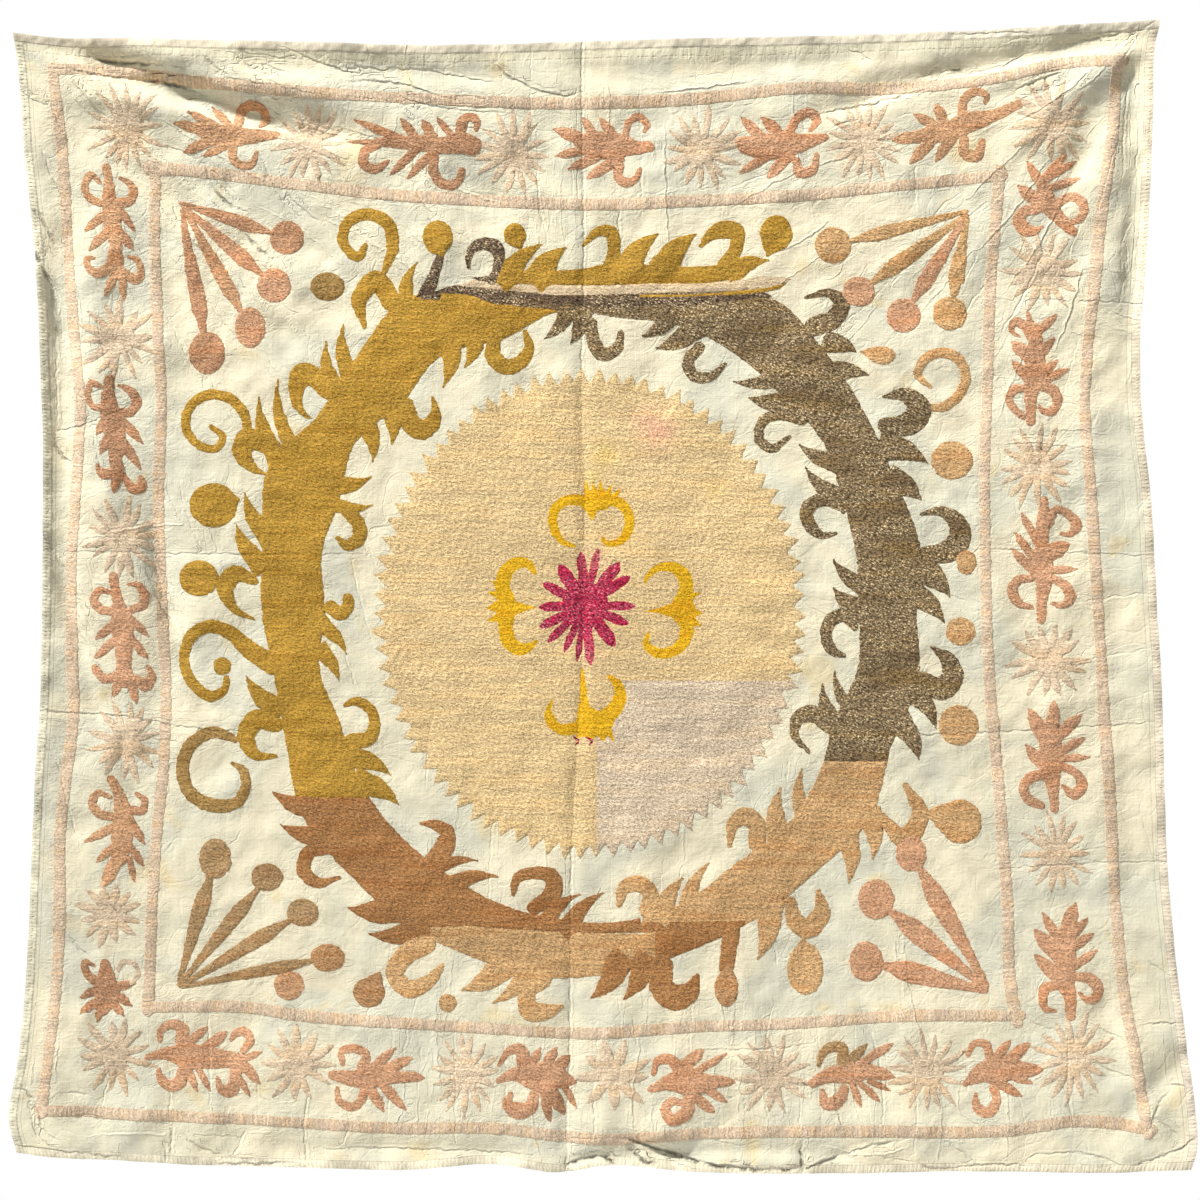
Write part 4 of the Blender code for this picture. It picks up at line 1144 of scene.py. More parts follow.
def sharp_creases(x, z):
    """Distance to the strongest crease near each place, and its depth, both in mm."""
    distance = 1000 * beside_seam(x, z)
    depth = SEAM_SHARPNESS * (np.abs(distance) < CREASE_REACH)
    best = depth * np.exp(-((distance / CREASE_REACH) ** 2))
    by_height = sorted_by_height(z)
    for row in SMALL_CREASES:
        if row[5] > SOFT_FOLD:
            continue
        close, aside, ends = near_line(x, z, by_height, row)
        sharp = 1000 * np.clip(row[6], -SHARPEST, SHARPEST)
        here = sharp * ends * (np.abs(1000 * aside) < CREASE_REACH)
        weight = np.abs(here) * np.exp(-((1000 * aside / CREASE_REACH) ** 2))
        stronger = weight > best[close]
        chosen = close[stronger]
        distance[chosen] = 1000 * aside[stronger]
        depth[chosen] = here[stronger]
        best[chosen] = weight[stronger]
    return distance, depth


net_x, net_z = to_metres(net_xy[:, 0], net_xy[:, 1])
net_points, net_normals = cloth_frame(net_x, net_z)
print("stitching lies between y", net_points[:, 1].min(), "and", net_points[:, 1].max())

# %% [markdown]
# ## Stitching
# Thread laid on cotton stands up a little, about a millimetre, and is lower along
# its outline and where two threads meet. On the back only small stitches come
# through. Each thread becomes one closed piece with a front just above the
# cotton, a back just behind it and a wall between them. A colour attribute
# keeps each shape's dye, and the UV map is the flat drawing in metres, so the
# threads of the material always run the right way.

# %% Heights of the stitching above the middle of the cloth
COTTON_HALF = 0.00045
STITCH_EDGE = 0.0009
STITCH_JOIN = 0.00125
STITCH_MIDDLE = 0.0014
STITCH_BACK = -0.00066
STITCH_UNEVEN = 0.00010
SHARP_TURN = 50
DYE_UNEVEN = 0.035
DYE_SEED = 3
# Old stains on the disc: x, y, radius, red, green, blue, strength
STAINS = (
    (658,430,17,0.86,0.36,0.27,0.55), (640,418,11,0.86,0.4,0.3,0.3),
    (605,455,12,0.9,0.62,0.12,0.45), (715,490,11,0.88,0.62,0.2,0.35),
    (592,478,9,0.9,0.66,0.16,0.35), (594,560,14,0.8,0.42,0.28,0.25),
    (590,655,12,0.82,0.42,0.3,0.22), (745,540,20,0.88,0.66,0.3,0.18),
)


def edges_of(faces):
    """The two ends of each side of each triangle, three rows for one triangle."""
    pairs = np.stack((faces, np.roll(faces, -1, axis=1)), axis=-1)
    return pairs.reshape(-1, 2)


def stitch_heights():
    """Height of each net point: low on outlines, lower where dyes meet."""
    uneven = np.random.default_rng(DYE_SEED).normal(size=len(net_xy))
    height = STITCH_MIDDLE + STITCH_UNEVEN * np.clip(uneven, -2, 2)
    pairs = np.sort(edges_of(net_faces), axis=1)
    keys, back = np.unique(pairs[:, 0] * len(net_xy) + pairs[:, 1], return_inverse=True)
    dyes = sorted(DYES)
    dye = np.array([dyes.index(shape["dye"]) for shape in shapes])[face_shape]
    dye = np.repeat(dye, 3)
    count = np.bincount(back)
    low = np.full(len(keys), 99)
    high = np.full(len(keys), -1)
    np.minimum.at(low, back, dye)
    np.maximum.at(high, back, dye)
    for chosen, value in ((low != high, STITCH_JOIN), (count == 1, STITCH_EDGE)):
        ends = np.column_stack(np.divmod(keys[chosen], len(net_xy)))
        height[ends.ravel()] = value
    return height


def stained(x, y, colours):
    """Dye colours with the old stains laid over them."""
    for stain_x, stain_y, radius, red, green, blue, strength in STAINS:
        near = np.exp(-((x - stain_x) ** 2 + (y - stain_y) ** 2) / radius**2)
        share = (strength * near)[:, None]
        colours = colours * (1 - share) + share * np.array((red, green, blue))
    return colours


def closed_piece(name, front, back, faces, face_uv, colours, outline=None):
    """Front and back of the same triangles, joined by a wall, as one object."""
    used, local = np.unique(faces, return_inverse=True)
    local = local.reshape(faces.shape)
    count = len(used)
    pairs = edges_of(local)
    keys, first, number = np.unique(
        np.sort(pairs, axis=1) @ (count, 1), return_index=True, return_counts=True
    )
    rim = first[number == 1]
    start, end = pairs[rim, 0], pairs[rim, 1]
    walls = np.column_stack((end, start, start + count, end + count))
    mesh = bpy.data.meshes.new(name)
    mesh.from_pydata(
        np.concatenate((front[used], back[used])).tolist(),
        [],
        local.tolist() + (local[:, ::-1] + count).tolist() + walls.tolist(),
    )
    rim_uv = face_uv[rim // 3, rim % 3]
    rim_next = face_uv[rim // 3, (rim % 3 + 1) % 3]
    wall_uv = np.stack((rim_next, rim_uv, rim_uv, rim_next), axis=1).reshape(-1, 2)
    uv = np.concatenate((face_uv.reshape(-1, 2), face_uv[:, ::-1].reshape(-1, 2), wall_uv))
    layer = mesh.uv_layers.new(name="cloth")
    layer.data.foreach_set("uv", uv.astype(np.float32).ravel())
    rim_dye = colours[rim // 3, rim % 3]
    wall_dye = np.repeat(rim_dye[:, None], 4, axis=1).reshape(-1, 3)
    dye = np.concatenate((colours.reshape(-1, 3), colours[:, ::-1].reshape(-1, 3), wall_dye))
    dye = np.column_stack((dye, np.ones(len(dye)))).astype(np.float32)
    layer = mesh.color_attributes.new(name="dye", type="FLOAT_COLOR", domain="CORNER")
    layer.data.foreach_set("color", dye.ravel())
    layer = mesh.attributes.new(name="reverse", type="FLOAT", domain="POINT")
    layer.data.foreach_set("value", np.repeat((0.0, 1.0), count).astype(np.float32))
    # crease distance and depth, and the outline, feed the bump and the painted shade of the
    # materials
    distance, depth = sharp_creases(front[used, 0], front[used, 2])
    outline = np.zeros(count) if outline is None else outline[used]
    relief = np.tile(np.column_stack((distance, depth, outline)), (2, 1))
    layer = mesh.attributes.new(name="relief", type="FLOAT_VECTOR", domain="POINT")
    layer.data.foreach_set("vector", relief.astype(np.float32).ravel())
    mesh.polygons.foreach_set("use_smooth", np.ones(len(mesh.polygons), dtype=bool))
    mesh.set_sharp_from_angle(angle=math.radians(SHARP_TURN))
    mesh.validate()
    return put_in_scene(name, mesh)


# %% One closed piece for each thread
def facing(faces, x, z):
    """The same triangles, turned so that they all face forward."""
    a, b, c = faces.T
    area = (x[b] - x[a]) * (z[c] - z[a]) - (z[b] - z[a]) * (x[c] - x[a])
    return np.where((area > 0)[:, None], faces, faces[:, ::-1])


net_faces = facing(net_faces, net_x, net_z)
heights = stitch_heights()
# the outline is 1 on the edges of the stitching and 0.45 where dyes meet; the materials lower the
# bump and paint shade there
net_outline = np.where(heights == STITCH_EDGE, 1.0, np.where(heights == STITCH_JOIN, 0.45, 0))
net_front = net_points + net_normals * heights[:, None]
net_back = net_points + net_normals * STITCH_BACK
uneven_dye = np.random.default_rng(DYE_SEED).normal(size=(len(shapes), 1)) * DYE_UNEVEN
shape_colour = np.array([DYES[shape["dye"]][1] for shape in shapes]) * (1 + uneven_dye)
shape_piece = np.array([DYES[shape["dye"]][0] for shape in shapes])
shape_upright = np.array([shape["upright"] for shape in shapes])
stitching = {}
for thread in ("disc", "gold", "olive", "rust", "salmon", "peach", "yellow", "magenta"):
    chosen = shape_piece[face_shape] == thread
    faces, owner = net_faces[chosen], face_shape[chosen]
    flat = np.stack((net_x[faces], net_z[faces]), axis=-1)
    flat = np.where(shape_upright[owner][:, None, None], flat[..., ::-1], flat)
    colours = np.repeat(shape_colour[owner], 3, axis=0)
    corner_xy = net_xy[faces].reshape(-1, 2)
    colours = stained(corner_xy[:, 0], corner_xy[:, 1], colours).reshape(-1, 3, 3)
    piece = closed_piece(f"{thread}_stitching", net_front, net_back, faces, flat, colours,
                         net_outline)
    stitching[thread] = piece
    print(piece.name, len(piece.data.polygons), "faces")

# %% [markdown]
# ## Cotton
# The cotton is two lengths joined by a flat seam down the middle. Each is a
# fine grid laid over the same folds, with a back and a rim, thin as the real
# cloth. It runs on under the edging and lies slightly lower under the
# stitching, which presses it back.

# %% How much stitching covers each place
COVER_CELL = 4.0
COVER_CELLS = 300
COVER_BLUR = 5
COTTON_PRESSED = 0.00022


def cover_map():
    """Share of each small square that stitching covers, and a blurred copy."""
    corner = net_xy[net_faces]
    a, b = corner[:, 1] - corner[:, 0], corner[:, 2] - corner[:, 0]
    area = np.abs(a[:, 0] * b[:, 1] - a[:, 1] * b[:, 0]) / 2
    cell = (corner.mean(axis=1) / COVER_CELL).astype(int).clip(0, COVER_CELLS - 1)
    cover = np.zeros((COVER_CELLS, COVER_CELLS))
    np.add.at(cover, (cell[:, 1], cell[:, 0]), area / COVER_CELL**2)
    cover = np.clip(cover, 0, 1)
    near = cover
    for _ in range(COVER_BLUR):
        for axis in (0, 1):
            near = (near + np.roll(near, 1, axis) + np.roll(near, -1, axis)) / 3
    return cover, np.clip(near * 2.2, 0, 1) * (1 - 0.4 * cover)


def sample(field, x, z):
    """Value of a map at places given in metres."""
    column = (x / PATTERN_UNIT + PATTERN_ZERO_X) / COVER_CELL - 0.5
    row = (PATTERN_ZERO_Y - z / PATTERN_UNIT) / COVER_CELL - 0.5
    column = np.clip(column, 0, COVER_CELLS - 1.001)
    row = np.clip(row, 0, COVER_CELLS - 1.001)
    c, r = column.astype(int), row.astype(int)
    u, v = column - c, row - r
    upper = field[r, c] * (1 - u) + field[r, c + 1] * u
    lower = field[r + 1, c] * (1 - u) + field[r + 1, c + 1] * u
    return upper * (1 - v) + lower * v


cover, near = cover_map()
print("stitching covers", round(float(cover.mean() / 0.93), 2), "of the cloth")

# %% The two lengths of cotton
COTTON_CELL = 0.0063
COTTON_UNDER = 0.006
SEAM_HALF = 0.0001


def grid_triangles(rows, columns):
    """Two triangles for each square of a grid, split in turn one way and the other."""
    corner = np.arange(rows * columns).reshape(rows, columns)
    a, b = corner[:-1, :-1], corner[:-1, 1:]
    c, d = corner[1:, 1:], corner[1:, :-1]
    odd = (np.add.outer(np.arange(rows - 1), np.arange(columns - 1)) % 2).astype(bool)
    first = np.where(odd[..., None], np.stack((a, d, c), -1), np.stack((a, d, b), -1))
    second = np.where(odd[..., None], np.stack((a, c, b), -1), np.stack((b, d, c), -1))
    return np.concatenate((first.reshape(-1, 3), second.reshape(-1, 3)))


def cotton_piece(name, start, end):
    """One length of cotton between two lines down the cloth."""
    rows = int(CLOTH_HEIGHT / COTTON_CELL)
    under = COTTON_UNDER / CLOTH_HEIGHT
    down = np.linspace(under, 1 - under, rows)[:, None]
    left, right = side_edges(down)
    seam = smooth_through(SEAM_LINE, down)[..., 0]
    width = right - left
    ends = {
        "left": COTTON_UNDER / width,
        "seam left": seam - SEAM_HALF / width,
        "seam right": seam + SEAM_HALF / width,
        "right": 1 - COTTON_UNDER / width,
    }
    columns = int(0.95 / COTTON_CELL)
    share = np.linspace(0, 1, columns)[None, :]
    x, z = cloth_outline(ends[start] + (ends[end] - ends[start]) * share, down)
    x, z = x.ravel(), z.ravel()
    points, normals = cloth_frame(x, z)
    pressed = COTTON_PRESSED * sample(cover, x, z)
    front = points + normals * (COTTON_HALF - pressed)[:, None]
    back = points - normals * COTTON_HALF
    faces = facing(grid_triangles(rows, columns), x, z)
    flat = np.stack((x[faces], z[faces]), axis=-1)
    inward = ends[start] + (ends[end] - ends[start]) * share
    from_side = ((inward if start == "left" else 1 - inward) * width).ravel()
    from_top = np.broadcast_to(down * CLOTH_HEIGHT, (rows, columns)).ravel()
    marks = np.column_stack((sample(near, x, z), from_top, from_side))
    return closed_piece(name, front, back, faces, flat, marks[faces])


cotton_left = cotton_piece("cotton_left", "left", "seam left")
cotton_right = cotton_piece("cotton_right", "seam right", "right")
print(len(cotton_left.data.polygons) + len(cotton_right.data.polygons), "faces of cotton")

# %% [markdown]
# ## Edging
# A narrow strip of thread and folded cotton runs along each side. It is thicker
# than the cloth and rounded, and it puckers a little between the stitches that
# hold it. Each strip is a fine grid across and along, closed at the back.

# %% Four rounded strips
EDGING_HALF = 0.00115
EDGING_RIM = 0.55
EDGING_STEP = 0.0034
EDGING_CELLS = 6
EDGING_PUCKER = 0.0005
EDGING_TRIM = 0.0003


def edging_place(side, along, across):
    """Cloth x and z for shares along a strip and, from its outer edge, across it."""
    if side in ("top", "bottom"):
        inward = across * EDGING_WIDTH / CLOTH_HEIGHT
        return cloth_outline(along, inward if side == "top" else 1 - inward)
    inset = (EDGING_WIDTH + EDGING_TRIM) / CLOTH_HEIGHT
    down = inset + (1 - 2 * inset) * along
    left, right = side_edges(down)
    inward = across * EDGING_WIDTH / (right - left)
    return cloth_outline(inward if side == "left" else 1 - inward, down)


def edging_strip(side):
    """One strip of edging as a closed, rounded piece."""
    length = CLOTH_HEIGHT
    rows = int(length / EDGING_STEP)
    along = np.linspace(0, 1, rows + 1)[:, None]
    across = np.linspace(0, 1, EDGING_CELLS + 1)[None, :]
    along, across = np.broadcast_arrays(along, across)
    x, z = edging_place(side, along, across)
    x, z = x.ravel(), z.ravel()
    points, normals = cloth_frame(x, z)
    run = (along * length).ravel()
    share = across.ravel()
    pucker = np.sin(run * 410 + 3 * np.sin(run * 23)) + np.sin(run * 251 + 5 * share)
    lift = EDGING_PUCKER / 2 * pucker * np.sin(np.pi * share * 0.8 + 0.3)
    round_off = EDGING_RIM + (1 - EDGING_RIM) * np.sqrt(1 - (2 * share - 1) ** 4)
    half = EDGING_HALF * round_off
    front = points + normals * (half + np.maximum(lift, -half / 2))[:, None]
    back = points - normals * half[:, None]
    faces = facing(grid_triangles(rows + 1, EDGING_CELLS + 1), x, z)
    flat = np.stack((run[faces], share[faces] * EDGING_WIDTH), axis=-1)
    tone = np.repeat(run[faces][..., None] / length, 3, axis=-1)
    return closed_piece(f"overcast_{side}", front, back, faces, flat, tone)


edging = {side: edging_strip(side) for side in ("top", "bottom", "left", "right")}
print("edging:", sum(len(piece.data.polygons) for piece in edging.values()), "faces")

# %% [markdown]
# ## Overcasting, one stitch at a time
# The edging is whipped down with short slanting stitches, and the middle seam is
# closed with smaller ones. One bent thread copied onto a row of points is the
# usual way to make them. The points carry which way the cloth faces and which
# way the stitch runs, and a little chance in size keeps them from looking
# machined.

# %% A small tree of nodes that lays threads on points
THREAD_RADIUS = 0.00042
STITCH_SEED = 8
LARGEST_STITCH = 1.05
BEND_PARTS, ROUND_PARTS = 5, 5


def add_node(tree, kind, inputs=None, **settings):
    """Outputs of a new node; an input is a number, a colour or another output."""
    made = tree.nodes.new(kind)
    for title, value in settings.items():
        setattr(made, title, value)
    for title, value in (inputs or {}).items():
        if isinstance(value, bpy.types.NodeSocket):
            tree.links.new(value, made.inputs[title])
        else:
            made.inputs[title].default_value = value
    return made.outputs


def number(operation, a, b=0.0, c=0.0):
    """Output of a Math node in the tree that the first value belongs to."""
    return add_node(a.id_data, "ShaderNodeMath", {0: a, 1: b, 2: c}, operation=operation)[0]


def times(a, b):
    """One number multiplied by another."""
    return number("MULTIPLY", a, b)


def stitch_tree(name, thread):
    """Geometry nodes: a bent thread on every point, with its own scale and turn."""
    tree = bpy.data.node_groups.new(name, "GeometryNodeTree")
    face = tree.interface
    face.new_socket("Geometry", in_out="INPUT", socket_type="NodeSocketGeometry")
    for title, value in (("Reach", 0.008), ("Rise", 0.002), ("Slant", 0.001),
                         ("Thread radius", THREAD_RADIUS), ("Uneven", 0.15)):
        socket = face.new_socket(title, in_out="INPUT", socket_type="NodeSocketFloat")
        socket.default_value = value
    face.new_socket("Geometry", in_out="OUTPUT", socket_type="NodeSocketGeometry")
    source = tree.nodes.new("NodeGroupInput").outputs

    def add(kind, inputs, **settings):
        """First output of a new node."""
        return add_node(tree, kind, inputs, **settings)[0]

    def vector(x, y, z):
        """Three numbers as one vector."""
        return add("ShaderNodeCombineXYZ", {0: x, 1: y, 2: z})

    def read(title):
        """A vector kept on the points."""
        return add("GeometryNodeInputNamedAttribute", {"Name": title}, data_type="FLOAT_VECTOR")

    reach, slant = source["Reach"], source["Slant"]
    bow = add("GeometryNodeCurveQuadraticBezier", {
        "Resolution": BEND_PARTS,
        "Start": vector(times(reach, -0.5), times(slant, -0.5), 0.0),
        "Middle": vector(0.0, 0.0, times(source["Rise"], 2.0)),
        "End": vector(times(reach, 0.5), times(slant, 0.5), 0.0)})
    circle = add("GeometryNodeCurvePrimitiveCircle",
                 {"Resolution": ROUND_PARTS, "Radius": source["Thread radius"]})
    tube = add("GeometryNodeCurveToMesh",
               {"Curve": bow, "Profile Curve": circle, "Fill Caps": True})
    turn = add("FunctionNodeAxesToRotation", {0: read("out"), 1: read("across")},
               primary_axis="Z", secondary_axis="X")
    smallest = add("ShaderNodeMath", {0: 1.0, 1: source["Uneven"]}, operation="SUBTRACT")
    chance = add_node(tree, "FunctionNodeRandomValue",
                      {2: smallest, 3: LARGEST_STITCH, "Seed": STITCH_SEED})[1]
    threads = add("GeometryNodeInstanceOnPoints",
                  {"Points": source["Geometry"], "Instance": tube, "Rotation": turn,
                   "Scale": chance})
    real = add("GeometryNodeRealizeInstances", {0: threads})
    dressed = add("GeometryNodeSetMaterial", {"Geometry": real, "Material": thread})
    tree.links.new(dressed, tree.nodes.new("NodeGroupOutput").inputs[0])
    return tree


def stitched_row(name, points, out, across, tree, sizes):
    """Points turned into threads, then into one plain mesh."""
    mesh = bpy.data.meshes.new(name)
    mesh.from_pydata(points.tolist(), [], [])
    for title, values in (("out", out), ("across", across)):
        layer = mesh.attributes.new(name=title, type="FLOAT_VECTOR", domain="POINT")
        layer.data.foreach_set("vector", values.astype(np.float32).ravel())
    holder = put_in_scene(name, mesh)
    row = holder.modifiers.new("stitches", "NODES")
    row.node_group = tree
    for socket in tree.interface.items_tree:
        if getattr(socket, "in_out", "") == "INPUT" and socket.name in sizes:
            row[socket.identifier] = sizes[socket.name]
    graph = bpy.context.evaluated_depsgraph_get()
    plain = bpy.data.meshes.new_from_object(holder.evaluated_get(graph), depsgraph=graph)
    holder.modifiers.remove(row)
    holder.data = plain
    bpy.data.meshes.remove(mesh)
    plain.name = name
    plain.polygons.foreach_set("use_smooth", np.ones(len(plain.polygons), dtype=bool))
    return holder


# %% [markdown]
# ## Materials
# All threads share one way of being built: narrow rows of laid thread, each a
# slightly different brightness, soft wavy rows where they were couched down,
# flecks where wool and cotton were twisted together, and slow fading over the
# width of a hand. Only the dye, the flecks, the tint of some rows and the strength
# of the relief differ. The rows follow the flat drawing, so they don't slide over the folds.

# %% Helpers for node materials
CRUMPLE_HEIGHT = 2.7
CREASE_HALF = 1.2
CREASE_SHARPNESS = 0.95
# how much the colour of the deepest creases is darkened, as painted shade
CREASE_PAINTED_SHADE = 0.72
# painted light: the colour is made brighter at the top and darker at the bottom
TOP_PAINTED_LIGHT, BOTTOM_BRIGHTNESS = 1.10, 0.90


def times_plus(a, b, c):
    """One number multiplied by another, plus a third."""
    return number("MULTIPLY_ADD", a, b, c)


def vector_math(operation, a, b, c=(0.0, 0.0, 0.0)):
    """Output of a Vector Math node."""
    inputs = {0: a, 1: b, 2: c}
    return add_node(a.id_data, "ShaderNodeVectorMath", inputs, operation=operation)[0]


def scaled(colour, factor):
    """A colour made brighter or darker by a number."""
    inputs = {0: colour, "Scale": factor}
    return add_node(factor.id_data, "ShaderNodeVectorMath", inputs, operation="SCALE")[0]


def blend_colour(share, a, b, way="MIX"):
    """Output of a Mix node for colours."""
    tree = (share if isinstance(share, bpy.types.NodeSocket) else a).id_data
    inputs = {0: share, 6: a, 7: b}
    return add_node(tree, "ShaderNodeMix", inputs, data_type="RGBA", blend_type=way)[2]


def spread(value, low, high, to_low=0.0, to_high=1.0):
    """Output of a smooth Map Range node."""
    inputs = {"Value": value, "From Min": low, "From Max": high, "To Min": to_low,
              "To Max": to_high}
    smooth = "SMOOTHSTEP"
    return add_node(value.id_data, "ShaderNodeMapRange", inputs, interpolation_type=smooth)[0]


def noise(place, scale, detail=2.0, stretch=None, distortion=0.0, roughness=0.5, size="2D"):
    """Value of a Noise texture, with its places stretched by some factors first."""
    if stretch:
        place = vector_math("MULTIPLY", place, (*stretch, 1.0)[:3])
    inputs = {"Vector": place, "Scale": scale, "Detail": detail, "Distortion": distortion,
              "Roughness": roughness}
    return add_node(place.id_data, "ShaderNodeTexNoise", inputs, noise_dimensions=size)[0]


def shaken(place, scale, detail, by):
    """Places moved about a little by the colours of a Noise texture."""
    inputs = {"Vector": place, "Scale": scale, "Detail": detail}
    shake = add_node(place.id_data, "ShaderNodeTexNoise", inputs, noise_dimensions="2D")[1]
    return vector_math("MULTIPLY_ADD", shake, (*by, 0.0), place)


def wave(place, way, scale, shift=0.0, **more):
    """Value of a Wave texture with even bands across x or y."""
    inputs = {"Vector": place, "Scale": scale, "Distortion": 0.0, "Phase Offset": shift}
    for title, value in more.items():
        inputs[title.replace("_", " ")] = value
    return add_node(place.id_data, "ShaderNodeTexWave", inputs, bands_direction=way)[1]


def parts_of(vector):
    """x, y and z of a vector, or red, green and blue of a colour."""
    return add_node(vector.id_data, "ShaderNodeSeparateXYZ", {0: vector})


def stored(tree, title):
    """Colour, vector and number that a mesh keeps under a name."""
    return add_node(tree, "ShaderNodeAttribute", attribute_name=title)


def flat_drawing(tree):
    """Places on the flat drawing, in metres."""
    return add_node(tree, "ShaderNodeUVMap", uv_map="cloth")[0]


def cloth_relief(tree):
    """Crease and crumple height in mm, painted crease shade and painted top light, the outline."""
    x, _, z = parts_of(add_node(tree, "ShaderNodeTexCoord")["Object"])
    place = add_node(tree, "ShaderNodeCombineXYZ", {0: x, 1: z})[0]
    # crumples: noise whose places another noise has moved, so no line is straight
    bent = shaken(place, 11.0, 1.0, (0.06, 0.06))
    edge = number("ABSOLUTE", number("SUBTRACT", noise(bent, 17.0, 0.0), 0.5))
    some = spread(noise(place, 5.0, 1.0), 0.42, 0.60)
    height = times(spread(edge, 0.0, 0.035), times(some, 0.3))
    height = times_plus(noise(bent, 19.0, 4.0, roughness=0.55), CRUMPLE_HEIGHT, height)
    # creases: a wavering groove with a raised lip beside it
    distance, depth, outline = parts_of(stored(tree, "relief")[1])
    wander = noise(place, 55.0)
    size = times_plus(number("ABSOLUTE", depth), 0.55, CREASE_HALF)
    distance = number("ADD", distance, times_plus(wander, 9.0, -4.5))
    distance = number("DIVIDE", distance, size)
    groove = number("EXPONENT", times(times(distance, distance), -1.0))
    lip = number("SUBTRACT", distance, 1.9)
    lip = number("EXPONENT", times(times(lip, lip), -0.7))
    depth = times(depth, spread(wander, 0.36, 0.58, 0.55, 1.1))
    fold = times(times_plus(lip, -0.5, groove), number("MINIMUM", depth, 3.0))
    # behind, the same crease stands out where it goes in on the face
    reverse = stored(tree, "reverse")[2]
    fold = times(fold, times_plus(reverse, -1.5, 1.0))
    height = times_plus(fold, -CREASE_SHARPNESS, height)
    # painted shade: the colour of deeper creases is darkened, less so behind
    painted_crease_shade = times(spread(depth, 0.8, 3.6), CREASE_PAINTED_SHADE)
    painted_crease_shade = times(painted_crease_shade, times_plus(reverse, -0.75, 1.0))
    shade = times_plus(times(groove, painted_crease_shade), -1.0, 1.0)
    # painted light: brighter towards the top, darker towards the bottom
    level = spread(z, -1.5, -0.15, BOTTOM_BRIGHTNESS, TOP_PAINTED_LIGHT)
    return height, times(shade, level), outline


def start_material(name, roughness, sheen, specular=0.12):
    """A material with its node tree and its shader."""
    made = bpy.data.materials.new(name)
    made.use_nodes = True
    shader = made.node_tree.nodes["Principled BSDF"]
    for title, value in (("Roughness", roughness), ("Specular IOR Level", specular),
                         ("Sheen Weight", sheen)):
        shader.inputs[title].default_value = value
    return made, made.node_tree, shader


def finish_surface(shader, colour, height):
    """Colour into the shader, height in millimetres into its normal."""
    tree = shader.id_data
    bump = add_node(tree, "ShaderNodeBump", {"Strength": 1.0, "Distance": 0.001,
                                             "Height": height})[0]
    tree.links.new(bump, shader.inputs["Normal"])
    tree.links.new(colour, shader.inputs["Base Color"])


# %% Laid thread
COTTON_COLOUR = (0.80, 0.725, 0.50, 1.0)
WHITE = (1.0, 1.0, 1.0, 1.0)
ROWS_PER_METRE = 46.0
ROW_WANDER = 7.0
TICK_TURN = 0.5
# thread: share of flecks, colour of the flecks, tint of some rows, roughness, and
# how much of the crumpling of the cotton shows through
THREADS = {
    "disc": (0.20, (0.86, 0.72, 0.46, 1.0), (1.0, 0.96, 0.90, 1.0), 0.95, 0.34),
    "gold": (0.14, (0.66, 0.43, 0.14, 1.0), (0.80, 0.76, 0.66, 1.0), 1.0, 0.45),
    "olive": (0.90, (0.62, 0.48, 0.28, 1.0), (1.05, 1.0, 0.82, 1.0), 2.1, 0.45),
    "rust": (0.20, (0.66, 0.43, 0.24, 1.0), (0.86, 0.78, 0.70, 1.0), 1.1, 0.5),
    "salmon": (0.20, (0.82, 0.56, 0.37, 1.0), (0.90, 0.80, 0.72, 1.0), 1.0, 0.6),
    "peach": (0.20, (0.92, 0.79, 0.58, 1.0), (0.96, 0.90, 0.82, 1.0), 0.65, 0.8),
    "yellow": (0.14, (0.86, 0.58, 0.12, 1.0), (0.90, 0.80, 0.55, 1.0), 0.9, 0.4),
    "magenta": (0.55, (0.82, 0.30, 0.36, 1.0), (0.72, 0.70, 0.74, 1.0), 1.9, 0.4),
}


